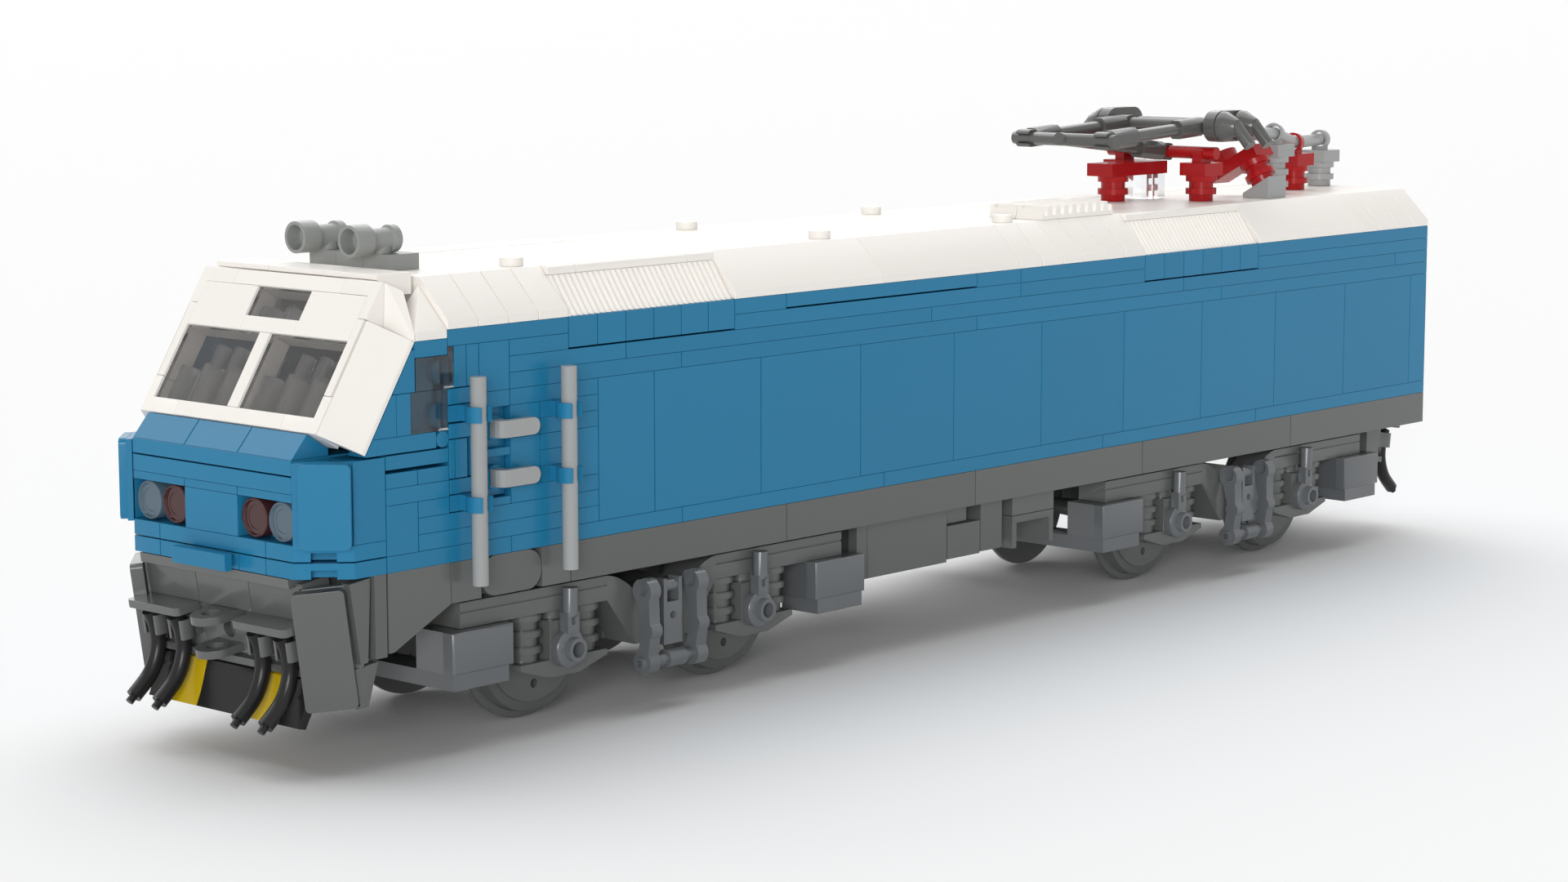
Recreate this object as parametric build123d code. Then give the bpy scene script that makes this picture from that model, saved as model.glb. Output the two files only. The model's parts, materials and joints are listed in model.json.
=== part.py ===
from build123d import *
import os
from math import cos, radians, sin

# A brick-built toy electric locomotive with one cab, in millimetres.
# Frame: X forward towards the cab, Y to the vehicle's left, Z up.
# The origin is on the floor below the middle of the body.

# Brick module
STUD = 8.0
PLATE = 3.2
SEAM = 0.1
LAYER_SEAM = 0.04
STUD_R = 2.4
STUD_H = 1.7
BAR_R = 1.59
ROUND_R = 3.9
ROUND_NECK_R = 3.05

# Overall sizes
LENGTH_STUDS = 48
WIDTH_STUDS = 8
LENGTH = LENGTH_STUDS * STUD
HALF_LENGTH = LENGTH / 2
HALF_WIDTH = WIDTH_STUDS * STUD / 2
FLANGE_R = 16.0
SILL_DROP = 8.0
AXLE_DROP = 21.6
SILL_Z = FLANGE_R + AXLE_DROP
PANEL_HEIGHT = 9 * PLATE
PANEL_Z = SILL_Z + PLATE
UPPER_Z = PANEL_Z + PANEL_HEIGHT
EAVES_Z = UPPER_Z + 4 * PLATE
ROOF_Z = EAVES_Z + 3 * PLATE
WALL = STUD

# Bogies and wheels
BOGIE_SPACING = 26 * STUD
REAR_BOGIE_X = 10.5 * STUD - HALF_LENGTH
FRONT_BOGIE_X = REAR_BOGIE_X + BOGIE_SPACING
WHEELBASE = 7 * STUD
AXLE_Z = FLANGE_R
FLANGE_OUT = 17.8
FLANGE_T = 1.5
TREAD_R = 14.6
TREAD_W = 3.2
WHEEL_FACE_R = 12.3
AXLE_END = 27.0
BEARING_CLEARANCE = 0.06
FRAME_IN = 22.0
FRAME_OUT = 30.0
BEAM_TOP = SILL_Z - 8.7
BEAM_BOTTOM = SILL_Z - 13.8
BEAM_HALF = 7 * STUD
SEAT_TOP = SILL_Z - 23.6
SEAT_BOTTOM = SILL_Z - 27.2
COLUMN_TOP = SILL_Z - 15.8
BOX_FACE = 33.0
BOX_BOTTOM = SILL_Z - 22.0
STEP_BOTTOM = SILL_Z - 25.2
HUB_FACE = 34.0
PIVOT_R = 2.4
PIVOT_CLEARANCE = 0.06
TURNTABLE_R = 9.0

# Windscreen, measured in its own plane from its bottom edge
SCREEN_X = LENGTH - 3.9 - HALF_LENGTH
SCREEN_Z = SILL_Z + 27.2
SCREEN_TILT = 58.0
SCREEN_LENGTH = 4 * STUD
SCREEN_HALF = 26.4
SCREEN_DEPTH = 6.4
GLASS_T = 1.6

# Pantograph, folded
PANTO_BASE_X = 76.8 - HALF_LENGTH
PANTO_BASE_Z = ROOF_Z + 12.1
PANTO_KNEE_X = 118.0 - HALF_LENGTH
PANTO_KNEE_Z = ROOF_Z + 16.6
PANTO_HEAD_X = PANTO_BASE_X
PANTO_HEAD_Z = ROOF_Z + 18.9
PANTO_ARM_Y = 1.5 * STUD
CLIP_CLEARANCE = 0.05


def block(xs, ys, zs):
    """Box between pairs of coordinates."""
    spans = (xs, ys, zs)
    sizes = [hi - lo for lo, hi in spans]
    centre = [(hi + lo) / 2 for lo, hi in spans]
    return Pos(*centre) * Box(*sizes)


def brick(s0, s1, ys, zs):
    """Brick between two stud stations, with the seam left round it."""
    xs = (station(s0) + SEAM, station(s1) - SEAM)
    return block(xs, ys, (zs[0], zs[1] - LAYER_SEAM))


def station(studs):
    """X of a stud line counted from the rear end."""
    return studs * STUD - HALF_LENGTH


def profile(points, ys):
    """Plate with an outline in X and Z, between two Y planes."""
    corners = [(x, ys[0], z) for x, z in points]
    face = make_face(Polyline(*corners, close=True))
    return extrude(face, amount=ys[1] - ys[0], dir=(0, 1, 0))


def section(points, xs):
    """Bar with an outline in Y and Z, between two X planes."""
    corners = [(xs[0], y, z) for y, z in points]
    face = make_face(Polyline(*corners, close=True))
    return extrude(face, amount=xs[1] - xs[0], dir=(1, 0, 0))


def plan(points, zs):
    """Slab with an outline in X and Y, between two heights."""
    corners = [(x, y, zs[0]) for x, y in points]
    face = make_face(Polyline(*corners, close=True))
    return extrude(face, amount=zs[1] - zs[0], dir=(0, 0, 1))


def rod(start, end, radius):
    """Round bar between two points."""
    a = Vector(*start)
    b = Vector(*end)
    run = b - a
    return Plane(origin=(a + b) / 2, z_dir=run) * Cylinder(radius, run.length)


def turned(outline, origin=(0, 0, 0), axis=(0, 0, 1)):
    """Solid of revolution from (radius, height) pairs about an axis."""
    face = make_face(Polyline(*[(r, 0, h) for r, h in outline], close=True))
    return Plane(origin=origin, z_dir=axis) * revolve(face, Axis.Z)


def trimmed(shape, point, normal):
    """The part of a shape behind a plane."""
    return split(shape, bisect_by=Plane(origin=point, z_dir=normal), keep=Keep.BOTTOM)


def mirrored(shapes):
    """The shapes and their copies on the other side of the vehicle."""
    return shapes + [mirror(shape, about=Plane.XZ) for shape in shapes]


def round_stack(count):
    """Outline of a pile of round plates, each with a neck below its flange."""
    neck = 1.7
    outline = [(0, 0)]
    for i in range(count):
        low = i * PLATE
        outline += [(ROUND_NECK_R, low), (ROUND_NECK_R, low + neck)]
        outline += [(ROUND_R, low + neck), (ROUND_R, low + PLATE)]
    return outline + [(0, count * PLATE)]


# Floor and sills

FLOOR_Z = SILL_Z - PLATE
FLOOR_END = HALF_LENGTH - 12.0
RAIL_IN = 26.0
TILE_T = PLATE
RAIL_OUT = HALF_WIDTH - TILE_T - SEAM
SILL_BOTTOM = SILL_Z - SILL_DROP
PIVOTS = {"front": FRONT_BOGIE_X, "rear": REAR_BOGIE_X}


def floor_plate():
    """Base plate with the pivot holes, and the sill rails below its edges."""
    xs = (-FLOOR_END, FLOOR_END)
    plate = block(xs, (-RAIL_OUT, RAIL_OUT), (FLOOR_Z, SILL_Z - LAYER_SEAM))
    for x in PIVOTS.values():
        hole = Cylinder(PIVOT_R + PIVOT_CLEARANCE, 4 * PLATE)
        plate -= Pos(x, 0, SILL_Z) * hole
    rail = block(xs, (RAIL_IN, RAIL_OUT), (SILL_BOTTOM, FLOOR_Z - LAYER_SEAM))
    return [plate] + mirrored([rail])


SILL_TILES = [(0, 8), (8, 16), (16, 24), (24, 32), (32, 40), (40, 41), (43, 44)]


def sill_tiles():
    """Smooth tiles that face the sills, with one round-ended hatch a side."""
    ys = (HALF_WIDTH - TILE_T, HALF_WIDTH)
    zs = (SILL_BOTTOM, SILL_Z)
    tiles = [brick(s0, s1, ys, zs) for s0, s1 in SILL_TILES]
    hatch = brick(41, 43, ys, zs)
    hatch = fillet(hatch.edges().filter_by(Axis.Y), 3.6)
    return mirrored(tiles + [hatch])


# Side walls

LOWER_ROW = [(0, 10), (10, 18), (18, 28), (28, 36), (36, 42), (42, 46)]
PANELS = [(0, 1), (1, 5), (5, 9), (9, 13), (13, 17), (17, 21), (21, 25), (25, 29),
          (29, 33), (33, 37), (37, 39)]
UPPER_ROWS = [
    [(0, 12), (12, 24), (24, 36), (36, 42)],
    [(0, 2), (2, 14), (14, 26), (26, 38), (38, 42)],
    [(0, 10), (16, 22), (22, 34), (40, 42)],
    [(0, 10), (16, 22), (22, 24), (32, 34), (40, 44)],
]
GROOVE = 0.3
LONG_TILE = (24, 32)
LOUVRE_SPANS = [(10, 16), (34, 40)]
WALL_YS = (HALF_WIDTH - WALL, HALF_WIDTH)


def lower_row():
    """The long blue plates that the wall panels stand on."""
    zs = (SILL_Z, PANEL_Z)
    return mirrored([brick(s0, s1, WALL_YS, zs) for s0, s1 in LOWER_ROW])


def wall_panels():
    """Blue wall panels, three bricks high."""
    zs = (PANEL_Z, UPPER_Z)
    return mirrored([brick(s0, s1, WALL_YS, zs) for s0, s1 in PANELS])


def upper_rows():
    """Four courses of blue plates, with short tiles below the louvres and one long tile."""
    plates = []
    for level, row in enumerate(UPPER_ROWS):
        zs = (UPPER_Z + level * PLATE, UPPER_Z + (level + 1) * PLATE)
        plates += [brick(s0, s1, WALL_YS, zs) for s0, s1 in row]
    plates.append(brick(*LONG_TILE, WALL_YS, (EAVES_Z - PLATE + GROOVE, EAVES_Z)))
    for s0, s1 in LOUVRE_SPANS:
        zs = (EAVES_Z - 2 * PLATE + GROOVE, EAVES_Z)
        plates += [brick(s, s + 1, WALL_YS, zs) for s in range(s0, s1)]
    return mirrored(plates)


REAR_COURSES = [PLATE, 9 * PLATE, PLATE, PLATE, PLATE, PLATE]
REAR_PEAK = 2 * PLATE


def rear_wall():
    """Flat end wall of full-width courses between the side walls and slopes."""
    inner = HALF_WIDTH - WALL - SEAM
    courses = []
    z = SILL_Z
    for height in REAR_COURSES:
        courses.append(brick(0, 1, (-inner, inner), (z, z + height)))
        z += height
    peak = HALF_WIDTH - 2 * STUD - SEAM
    courses.append(brick(0, 1, (-peak, peak), (z, z + REAR_PEAK)))
    return courses


# Roof

LIP = 1.6
SLOPE_RUN = STUD
SLOPE_TOP = STUD
SLOPES = [(0, 1), (1, 2), (2, 3), (3, 4), (4, 10), (16, 17), (17, 18), (18, 19), (19, 20),
          (20, 21), (21, 22), (22, 28), (28, 34), (40, 41), (41, 42), (42, 43), (43, 44)]
RIBS_PER_STUD = 5
RIB_DEPTH = 0.9
RIB_BACK = 1.1
# distance across one rib and height of its face, as shares of pitch and depth
RIB_FORM = [(0, 0), (0.12, 0), (0.3, 0.85), (0.6, 1), (0.85, 0.7)]
LOUVRE_FOOT = (HALF_WIDTH - 1.3, EAVES_Z)
LOUVRE_HEAD = (HALF_WIDTH - 6.7, ROOF_Z - 1.8)
CAP_FRONT = HALF_WIDTH - 5.9
CAP_SPLITS = (1, 4, 1)


def slope_outline(drop=0.0):
    """Cross-section of an eaves slope on the left side."""
    foot = HALF_WIDTH
    top = HALF_WIDTH - SLOPE_RUN
    inner = top - SLOPE_TOP + SEAM
    return [(foot, EAVES_Z - drop), (foot, EAVES_Z + LIP - drop), (top, ROOF_Z - drop),
            (inner, ROOF_Z - drop), (inner, EAVES_Z - drop)]


def roof_slopes():
    """Smooth eaves slopes, one lower pair beside the cab window."""
    slopes = [section(slope_outline(), (station(s0) + SEAM, station(s1) - SEAM))
              for s0, s1 in SLOPES]
    return mirrored(slopes)


def louvre(xs, count):
    """Louvred slope of rounded ribs that run down the eaves, cut level at foot and head."""
    run = (LOUVRE_HEAD[0] - LOUVRE_FOOT[0], LOUVRE_HEAD[1] - LOUVRE_FOOT[1])
    length = (run[0] ** 2 + run[1] ** 2) ** 0.5
    pitch = (xs[1] - xs[0]) / count
    outline = [(0, -RIB_BACK)]
    for i in range(count):
        outline += [((i + across) * pitch, out * RIB_DEPTH) for across, out in RIB_FORM]
    outline += [(count * pitch, 0), (count * pitch, -RIB_BACK)]
    plane = Plane(origin=(xs[0], LOUVRE_FOOT[0], LOUVRE_FOOT[1]), x_dir=(1, 0, 0), z_dir=(0, *run))
    face = make_face(Polyline(*[(x, y, -2.0) for x, y in outline], close=True))
    sheet = plane * extrude(face, amount=length + 4.0, dir=(0, 0, 1))
    sheet = trimmed(sheet, (0, 0, LOUVRE_FOOT[1]), (0, 0, -1))
    sheet = trimmed(sheet, (0, 0, LOUVRE_HEAD[1]), (0, 0, 1))
    back = HALF_WIDTH - 2 * STUD + SEAM
    body = section([(LOUVRE_FOOT[0] - 0.3, LOUVRE_FOOT[1]), (LOUVRE_HEAD[0] - 0.3, LOUVRE_HEAD[1]),
                    (back, LOUVRE_HEAD[1]), (back, EAVES_Z)], xs)
    return sheet + body


def cap_tile(xs):
    """Tile over the head of a louvre, with a rounded front edge."""
    back = HALF_WIDTH - 2 * STUD + SEAM
    low = LOUVRE_HEAD[1] + 0.06
    top = ROOF_Z + 0.04
    outline = [(CAP_FRONT, low), (CAP_FRONT, top - 0.9), (CAP_FRONT - 0.25, top - 0.3),
               (CAP_FRONT - 0.8, top),
               (back, top), (back, low)]
    return section(outline, xs)


def ribbed_slopes():
    """Louvred slopes with ribs that run down the eaves, under their cap tiles."""
    shapes = []
    for s0, s1 in LOUVRE_SPANS:
        xs = (station(s0) + SEAM, station(s1) - SEAM)
        shapes.append(louvre(xs, (s1 - s0) * RIBS_PER_STUD))
        start = s0
        for studs in CAP_SPLITS:
            shapes.append(cap_tile((station(start) + SEAM, station(start + studs) - SEAM)))
            start += studs
    return mirrored(shapes)


DECK = [(0, 6), (6, 12), (12, 18), (18, 26), (26, 34), (34, 42)]
DECK_HALF = HALF_WIDTH - SLOPE_RUN - SLOPE_TOP
ROOF_STUDS = [(21.0, 1), (21.0, -1), (29.0, 1), (29.0, -1), (40.5, 1), (40.5, -1)]
ROOF_STUD_Y = 2.5 * STUD


def roof_deck():
    """Flat white deck between the slopes."""
    ys = (-DECK_HALF, DECK_HALF)
    zs = (ROOF_Z - PLATE, ROOF_Z)
    return [brick(s0, s1, ys, zs) for s0, s1 in DECK]


def roof_studs():
    """Bare studs left showing along the roof edges."""
    foot = 0.02
    height = STUD_H - foot
    return [Pos(station(s), side * ROOF_STUD_Y, ROOF_Z + foot + height / 2) * Cylinder(STUD_R, height)
            for s, side in ROOF_STUDS]


GRILLE_STUDS = (16.25, 19.75)
GRILLE_ROWS = [(8, 16), (16, 24)]
GRILLE_SLOTS = 9
GRILLE_BEVEL = 1.0


def roof_grille():
    """Raised vent tiles with cross slots, beside the pantograph."""
    x0 = station(GRILLE_STUDS[0])
    x1 = station(GRILLE_STUDS[1])
    foot = ROOF_Z + LAYER_SEAM
    top = foot + PLATE
    tiles = []
    pitch = (x1 - x0) / GRILLE_SLOTS
    for y0, y1 in GRILLE_ROWS:
        outline = [(x0, foot), (x1, foot), (x1 - GRILLE_BEVEL, top), (x0 + GRILLE_BEVEL, top)]
        tile = profile(outline, (y0 + SEAM, y1 - SEAM))
        for i in range(GRILLE_SLOTS):
            x = x0 + (i + 0.5) * pitch
            slot = [(x - 0.5, foot + 1.0), (x + 0.5, foot + 1.0), (x + 1.1, top + 1), (x - 1.1, top + 1)]
            tile -= profile(slot, (y0 + 1.2, y1 + 1))
        tiles.append(tile)
    return tiles


HORN_Y = 1.0 * STUD
HORN_X = 355.5 - HALF_LENGTH
HORN_Z = ROOF_Z + 6.0
HORN_LENGTH = 11.5
HORN_BLOCK_X = (341.0 - HALF_LENGTH, 348.6 - HALF_LENGTH)


def horns():
    """Twin horns with open bells on three small blocks across the roof."""
    top = ROOF_Z + PLATE
    blocks = [block(HORN_BLOCK_X, (y - 3.95, y + 3.95), (ROOF_Z + 0.04, top)) for y in (-STUD, 0, STUD)]
    outline = [(0, 0), (2.75, 0), (2.75, 1.6), (2.2, 1.9), (2.2, 6.4), (3.15, 7.2), (3.15, HORN_LENGTH),
               (2.5, HORN_LENGTH), (2.3, 8.4), (1.2, 8.2), (1.2, 5.5), (0, 5.5)]
    bells = []
    for side in (-1, 1):
        bell = turned(outline, (HORN_X - HORN_LENGTH, side * HORN_Y, HORN_Z), (1, 0, 0))
        stem_x = HORN_X - HORN_LENGTH + 3.2
        foot = (stem_x, side * HORN_Y, top + 0.04)
        bells.append(bell + rod(foot, (stem_x, side * HORN_Y, HORN_Z - 1.0), 1.9))
    return blocks + bells


# Nose

NOSE_X = HALF_LENGTH
NOSE_FROM = station(46) + SEAM
CHAMFER = STUD
SHOULDER_X = NOSE_X - CHAMFER
SHOULDER_Y = HALF_WIDTH - CHAMFER
LAMP_Z = (SILL_Z + 2 * PLATE, SILL_Z + 4.5 * PLATE)
LAMP_YS = [(12.0, "red"), (20.0, "clear")]
LAMP_R = 3.9
LAMP_DEPTH = 3.6
NOSE_TOP = SILL_Z + 7 * PLATE
NOTCH = (4.8, 1.7)
# name, Y seams of the middle bricks, lower edge, upper edge
LOW_COURSES = [
    ("first", (-8.0, 8.0), (8.0, 16.0), SILL_Z, SILL_Z + PLATE - 0.12),
    ("second", (-16.0, 16.0), None, SILL_Z + PLATE + 0.12, LAMP_Z[0] - LAYER_SEAM),
]


def corner_brick(z0, z1):
    """Brick with the cut corner of the nose and the notch below its cut face."""
    y0 = 2 * STUD + SEAM
    outline = [(NOSE_FROM, y0), (NOSE_X, y0), (NOSE_X, SHOULDER_Y), (SHOULDER_X, HALF_WIDTH),
               (NOSE_FROM, HALF_WIDTH)]
    brick_shape = plan(outline, (z0, z1))
    middle = CHAMFER / 2
    notch = Rot(0, 0, 45) * Box(5.0, NOTCH[0], 2 * NOTCH[1])
    return brick_shape - Pos(NOSE_X - middle, HALF_WIDTH - middle, z0) * notch


def nose_lower():
    """The two nose courses below the lamps."""
    bricks = []
    for _, middle, outer, z0, z1 in LOW_COURSES:
        bricks.append(block((NOSE_FROM, NOSE_X), (middle[0] + SEAM, middle[1] - SEAM), (z0, z1)))
        sides = [corner_brick(z0, z1)]
        if outer:
            sides.append(block((NOSE_FROM, NOSE_X), (outer[0] + SEAM, outer[1] - SEAM), (z0, z1)))
        bricks += mirrored(sides)
    return bricks


def nose_lamp_course():
    """Centre panel and the back walls of the two lamp recesses."""
    zs = (LAMP_Z[0], LAMP_Z[1] - LAYER_SEAM)
    centre = block((NOSE_FROM, NOSE_X), (-STUD + SEAM, STUD - SEAM), zs)
    wall = block((NOSE_FROM, NOSE_X - 4.4), (STUD + SEAM, 3 * STUD - SEAM), zs)
    return [centre] + mirrored([wall])


def lamps(colour):
    """Round lamp lenses of one colour, one a side."""
    z = (LAMP_Z[0] + LAMP_Z[1]) / 2
    outline = [(0, 0), (2.4, 0), (2.4, 1.2), (LAMP_R, 1.4), (LAMP_R, LAMP_DEPTH - 0.5),
               (LAMP_R - 0.5, LAMP_DEPTH),
               (0, LAMP_DEPTH)]
    ys = [y for y, name in LAMP_YS if name == colour]
    return mirrored([turned(outline, (NOSE_X - 4.3, y, z), (1, 0, 0)) for y in ys])


# name, height of the lower edge above the sill, height of the upper edge, Y seams
TOP_COURSES = [
    ("brow", 4.5 * PLATE, 5 * PLATE, (-24, -8, 8, 24)),
    ("band", 5 * PLATE, 6 * PLATE, (-24, 24)),
    ("lip", 6 * PLATE + 0.25, 7 * PLATE, (-24, 24)),
]
SIDE_PANEL_TOP = SILL_Z + 22.1


def nose_upper():
    """Courses above the lamps, the smooth side panels and the corner fillers."""
    bricks = []
    for _, low, high, seams in TOP_COURSES:
        zs = (SILL_Z + low, SILL_Z + high - LAYER_SEAM)
        for y0, y1 in zip(seams, seams[1:]):
            bricks.append(block((NOSE_FROM, NOSE_X), (y0 + SEAM, y1 - SEAM), zs))
    inner = SHOULDER_Y + SEAM
    zs = (LAMP_Z[0], SIDE_PANEL_TOP)
    side = block((NOSE_FROM, SHOULDER_X - 0.05), (inner, HALF_WIDTH - 0.02), zs)
    corners = [(SHOULDER_X + 0.05, inner), (NOSE_X - 0.35, inner), (SHOULDER_X + 0.05, HALF_WIDTH - 0.3)]
    filler = plan(corners, zs)
    return bricks + mirrored([side, filler])


NOSE_SLOPES = [(-24, -8), (-8, 8), (8, 24)]


def nose_slopes():
    """Three slopes that lean back under the windscreen."""
    outline = [(NOSE_X - 0.1, NOSE_TOP), (SCREEN_X - 0.1, SCREEN_Z - 0.3), (SCREEN_X - 5.2, SCREEN_Z - 3.5),
               (SCREEN_X - 5.2, NOSE_TOP)]
    return [profile(outline, (y0 + SEAM, y1 - SEAM)) for y0, y1 in NOSE_SLOPES]


CORNER_PANEL_Z = (SILL_Z + 5.9, SILL_Z + 22.0)
# name, inner and outer distance from the cut face, span along it from its front edge, corner radius
CORNER_LAYERS = [
    ("back", 0.05, 1.25, (0.1, 10.6), 0.0),
    ("front", 1.3, 2.9, (1.3, 11.1), 1.2),
]


def nose_corner_panels():
    """Two layers of tile over each cut corner of the nose, the outer one rounded."""
    panels = []
    for _, inner, outer, span, radius in CORNER_LAYERS:
        panel = block((inner, outer), span, CORNER_PANEL_Z)
        if radius:
            panel = fillet(panel.edges().filter_by(Axis.X), radius)
        panels.append(Pos(NOSE_X, SHOULDER_Y, 0) * Rot(0, 0, 45) * panel)
    return mirrored(panels)


def nose_bar():
    """Coupling bar plate that stands proud of the bottom course."""
    bar = block((NOSE_X + 1.6, NOSE_X + 3.4), (-STUD, STUD), (SILL_Z + 0.1, SILL_Z + 3.3))
    stem = block((NOSE_X + 0.02, NOSE_X + 1.7), (-STUD + 1.0, STUD - 1.0), (SILL_Z + 0.9, SILL_Z + 2.5))
    return [bar + stem]


# Windscreen


def screen_plane():
    """Plane of the outer face, X across to the left and Y up the slope."""
    up = (-cos(radians(SCREEN_TILT)), 0, sin(radians(SCREEN_TILT)))
    out = (sin(radians(SCREEN_TILT)), 0, cos(radians(SCREEN_TILT)))
    x_dir = Vector(*up).cross(Vector(*out))
    return Plane(origin=(SCREEN_X, 0, SCREEN_Z), x_dir=x_dir, z_dir=out)


WINDOWS = [(-24.0, -1.6, 3.2, 19.2), (1.6, 24.0, 3.2, 19.2), (-8.0, 8.0, 22.4, 28.8)]


def screen_slab(x0, x1, y0, y1, z0, z1):
    """Box in the windscreen's plane."""
    return screen_plane() * block((x0, x1), (y0, y1), (z0, z1))


SIDE_STRIP = 3 * STUD
SPLIT = 2 * STUD
# name, across from and to, up from and to
SCREEN_MIDDLES = [
    ("head", -SPLIT, SPLIT, 28.8, SCREEN_LENGTH),
    ("foot", -SPLIT, SPLIT, 0.0, 3.2),
    ("bridge", -STUD, STUD, 19.2, 22.4),
    ("mullion", -1.6, 1.6, 3.2, 19.2),
]
SCREEN_SIDES = [
    ("panel", STUD, SIDE_STRIP, 19.2, 28.8),
    ("strip", SIDE_STRIP, SCREEN_HALF - 0.4, 7.8, 24.0),
]
# name, up to the inner corner, up to the end of the strip, up to the far edge
SCREEN_CORNERS = [("low", 3.2, 7.7, 0.0), ("high", 28.8, 24.1, SCREEN_LENGTH)]


def windscreen_frame():
    """White tiles round the two main windows and the small top window."""
    zs = (-SCREEN_DEPTH, 0)
    gap = SEAM / 2
    tiles = []
    for _, x0, x1, y0, y1 in SCREEN_MIDDLES:
        tiles.append(screen_slab(x0 + gap, x1 - gap, y0 + gap, y1 - gap, *zs))
    sides = [screen_slab(x0 + gap, x1 - gap, y0 + gap, y1 - gap, *zs) for _, x0, x1, y0, y1 in SCREEN_SIDES]
    for _, inner, end, edge in SCREEN_CORNERS:
        turn = gap if edge > inner else -gap
        corners = [(SPLIT + gap, edge), (SCREEN_HALF, edge), (SCREEN_HALF, end), (SIDE_STRIP + gap, end),
                   (SIDE_STRIP + gap, inner + turn), (SPLIT + gap, inner + turn)]
        face = make_face(Polyline(*[(x, y, zs[0]) for x, y in corners], close=True))
        sides.append(screen_plane() * extrude(face, amount=SCREEN_DEPTH, dir=(0, 0, 1)))
    return tiles + mirrored(sides)


def windscreen_glass():
    """Smoky panes set back in the frame."""
    fit = 0.1
    return [screen_slab(x0 + fit, x1 - fit, y0 + fit, y1 - fit, -GLASS_T - 0.5, -0.5)
            for x0, x1, y0, y1 in WINDOWS]


CHEEK_IN = SCREEN_HALF + 0.1
CHEEK_DEPTH = 7.5
CHEEK_T = 2.2
CHEEK_SEAM = 3 * STUD
CREST = (362.5 - HALF_LENGTH, 26.9, SILL_Z + 54.1)
CREST_SIDE = (360.3 - HALF_LENGTH, 32.0, SILL_Z + 50.7)
CREST_FOOT = (360.6 - HALF_LENGTH, 32.0, SILL_Z + 44.4)


def cheek_blank(y0, y1):
    """Slab whose outer face runs from the frame back to the cab side."""
    rise = CHEEK_DEPTH / (HALF_WIDTH - CHEEK_IN)
    outer = HALF_WIDTH
    corners = [(CHEEK_IN, y0, -0.2), (outer, y0, -CHEEK_DEPTH), (outer, y0, -CHEEK_DEPTH - CHEEK_T * 0.4),
               (CHEEK_IN, y0, -0.2 - CHEEK_T * rise)]
    face = make_face(Polyline(*corners, close=True))
    return screen_plane() * extrude(face, amount=y1 - y0, dir=(0, 1, 0))


def cheeks():
    """Slanting white blocks beside the windscreen, the top pair faceted."""
    low = cheek_blank(0.0, CHEEK_SEAM - SEAM)
    plane = screen_plane()
    outer_normal = (plane.x_dir * CHEEK_DEPTH + plane.z_dir * (HALF_WIDTH - CHEEK_IN)).normalized()
    crest = Vector(*CREST)
    side = Vector(*CREST_SIDE)
    foot = Vector(*CREST_FOOT)
    brow = (side - crest).cross(foot - crest)
    brow = brow if brow.X > 0 else -brow
    high_xs = (360.15 - HALF_LENGTH, 369 - HALF_LENGTH)
    high = block(high_xs, (CHEEK_IN, HALF_WIDTH), (SILL_Z + 42, SILL_Z + 56))
    shoulder = plane.from_local_coords((CHEEK_IN, CHEEK_SEAM, 0))
    high = trimmed(high, shoulder, -plane.y_dir)
    high = trimmed(high, shoulder, plane.z_dir)
    high = trimmed(high, plane.from_local_coords((CHEEK_IN, SCREEN_LENGTH, 0)), plane.y_dir)
    high = trimmed(high, plane.from_local_coords((CHEEK_IN, 0, -0.2)), outer_normal)
    high = trimmed(high, crest, brow)
    return mirrored([low, high])


# Cab sides

CAB_GLASS = [((350.5, 360.1), (33.65, 39.95)), ((352.1, 361.4), (25.65, 33.55))]
PANE_T = 2.4
CAB_SLOPE_DEPTH = 8.6
# name, X from the rear end, height above the sill
CAB_SIDE = [
    ("lintel", (352.1, 360.3), (40.05, 43.15)),
    ("high_block", (360.35, 367.0), (33.65, 41.6)),
    ("low_block", (365.1, 372.0), (25.65, 33.55)),
    ("low_strip", (361.5, 365.0), (25.65, 33.55)),
    ("window_sill", (355.2, 373.5), (22.5, 25.6)),
]
BAR_END = (353.56, 24.0)
# X and height of the blue studs behind the side panes, and how deep they sit
PANE_STUDS = [(352.4, 28.3), (351.6, 36.6)]
PANE_BACK = HALF_WIDTH - 5.0


def cab_side_blocks():
    """Blue blocks that fill the cab side between door, glass and cheek."""
    shapes = []
    plane = screen_plane()
    limit = plane.from_local_coords((0, 0, -CAB_SLOPE_DEPTH))
    for _, xs, zs in CAB_SIDE:
        shape = block([x - HALF_LENGTH for x in xs], (PANE_BACK, HALF_WIDTH), [SILL_Z + z for z in zs])
        shapes.append(trimmed(shape, limit, plane.z_dir))
    x = BAR_END[0] - HALF_LENGTH
    z = SILL_Z + BAR_END[1]
    shapes.append(rod((x, PANE_BACK, z), (x, HALF_WIDTH, z), BAR_R - 0.04))
    return mirrored(shapes)


def pane_studs():
    """Blue studs on an inner brick, seen through the side panes."""
    inner = block((station(44), 361.3 - HALF_LENGTH), (WALL_YS[0] + 0.1, PANE_BACK - 0.1),
                  (SILL_Z + 22.5, SILL_Z + 41.5))
    for x, z in PANE_STUDS:
        foot = Vector(x - HALF_LENGTH, PANE_BACK - 0.2, SILL_Z + z)
        inner += rod(foot, foot + Vector(0, STUD_H + 0.2, 0), STUD_R)
    return mirrored([trimmed(inner, (station(44) + 0.1, 0, 0), (-1, 0, 0))])


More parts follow.
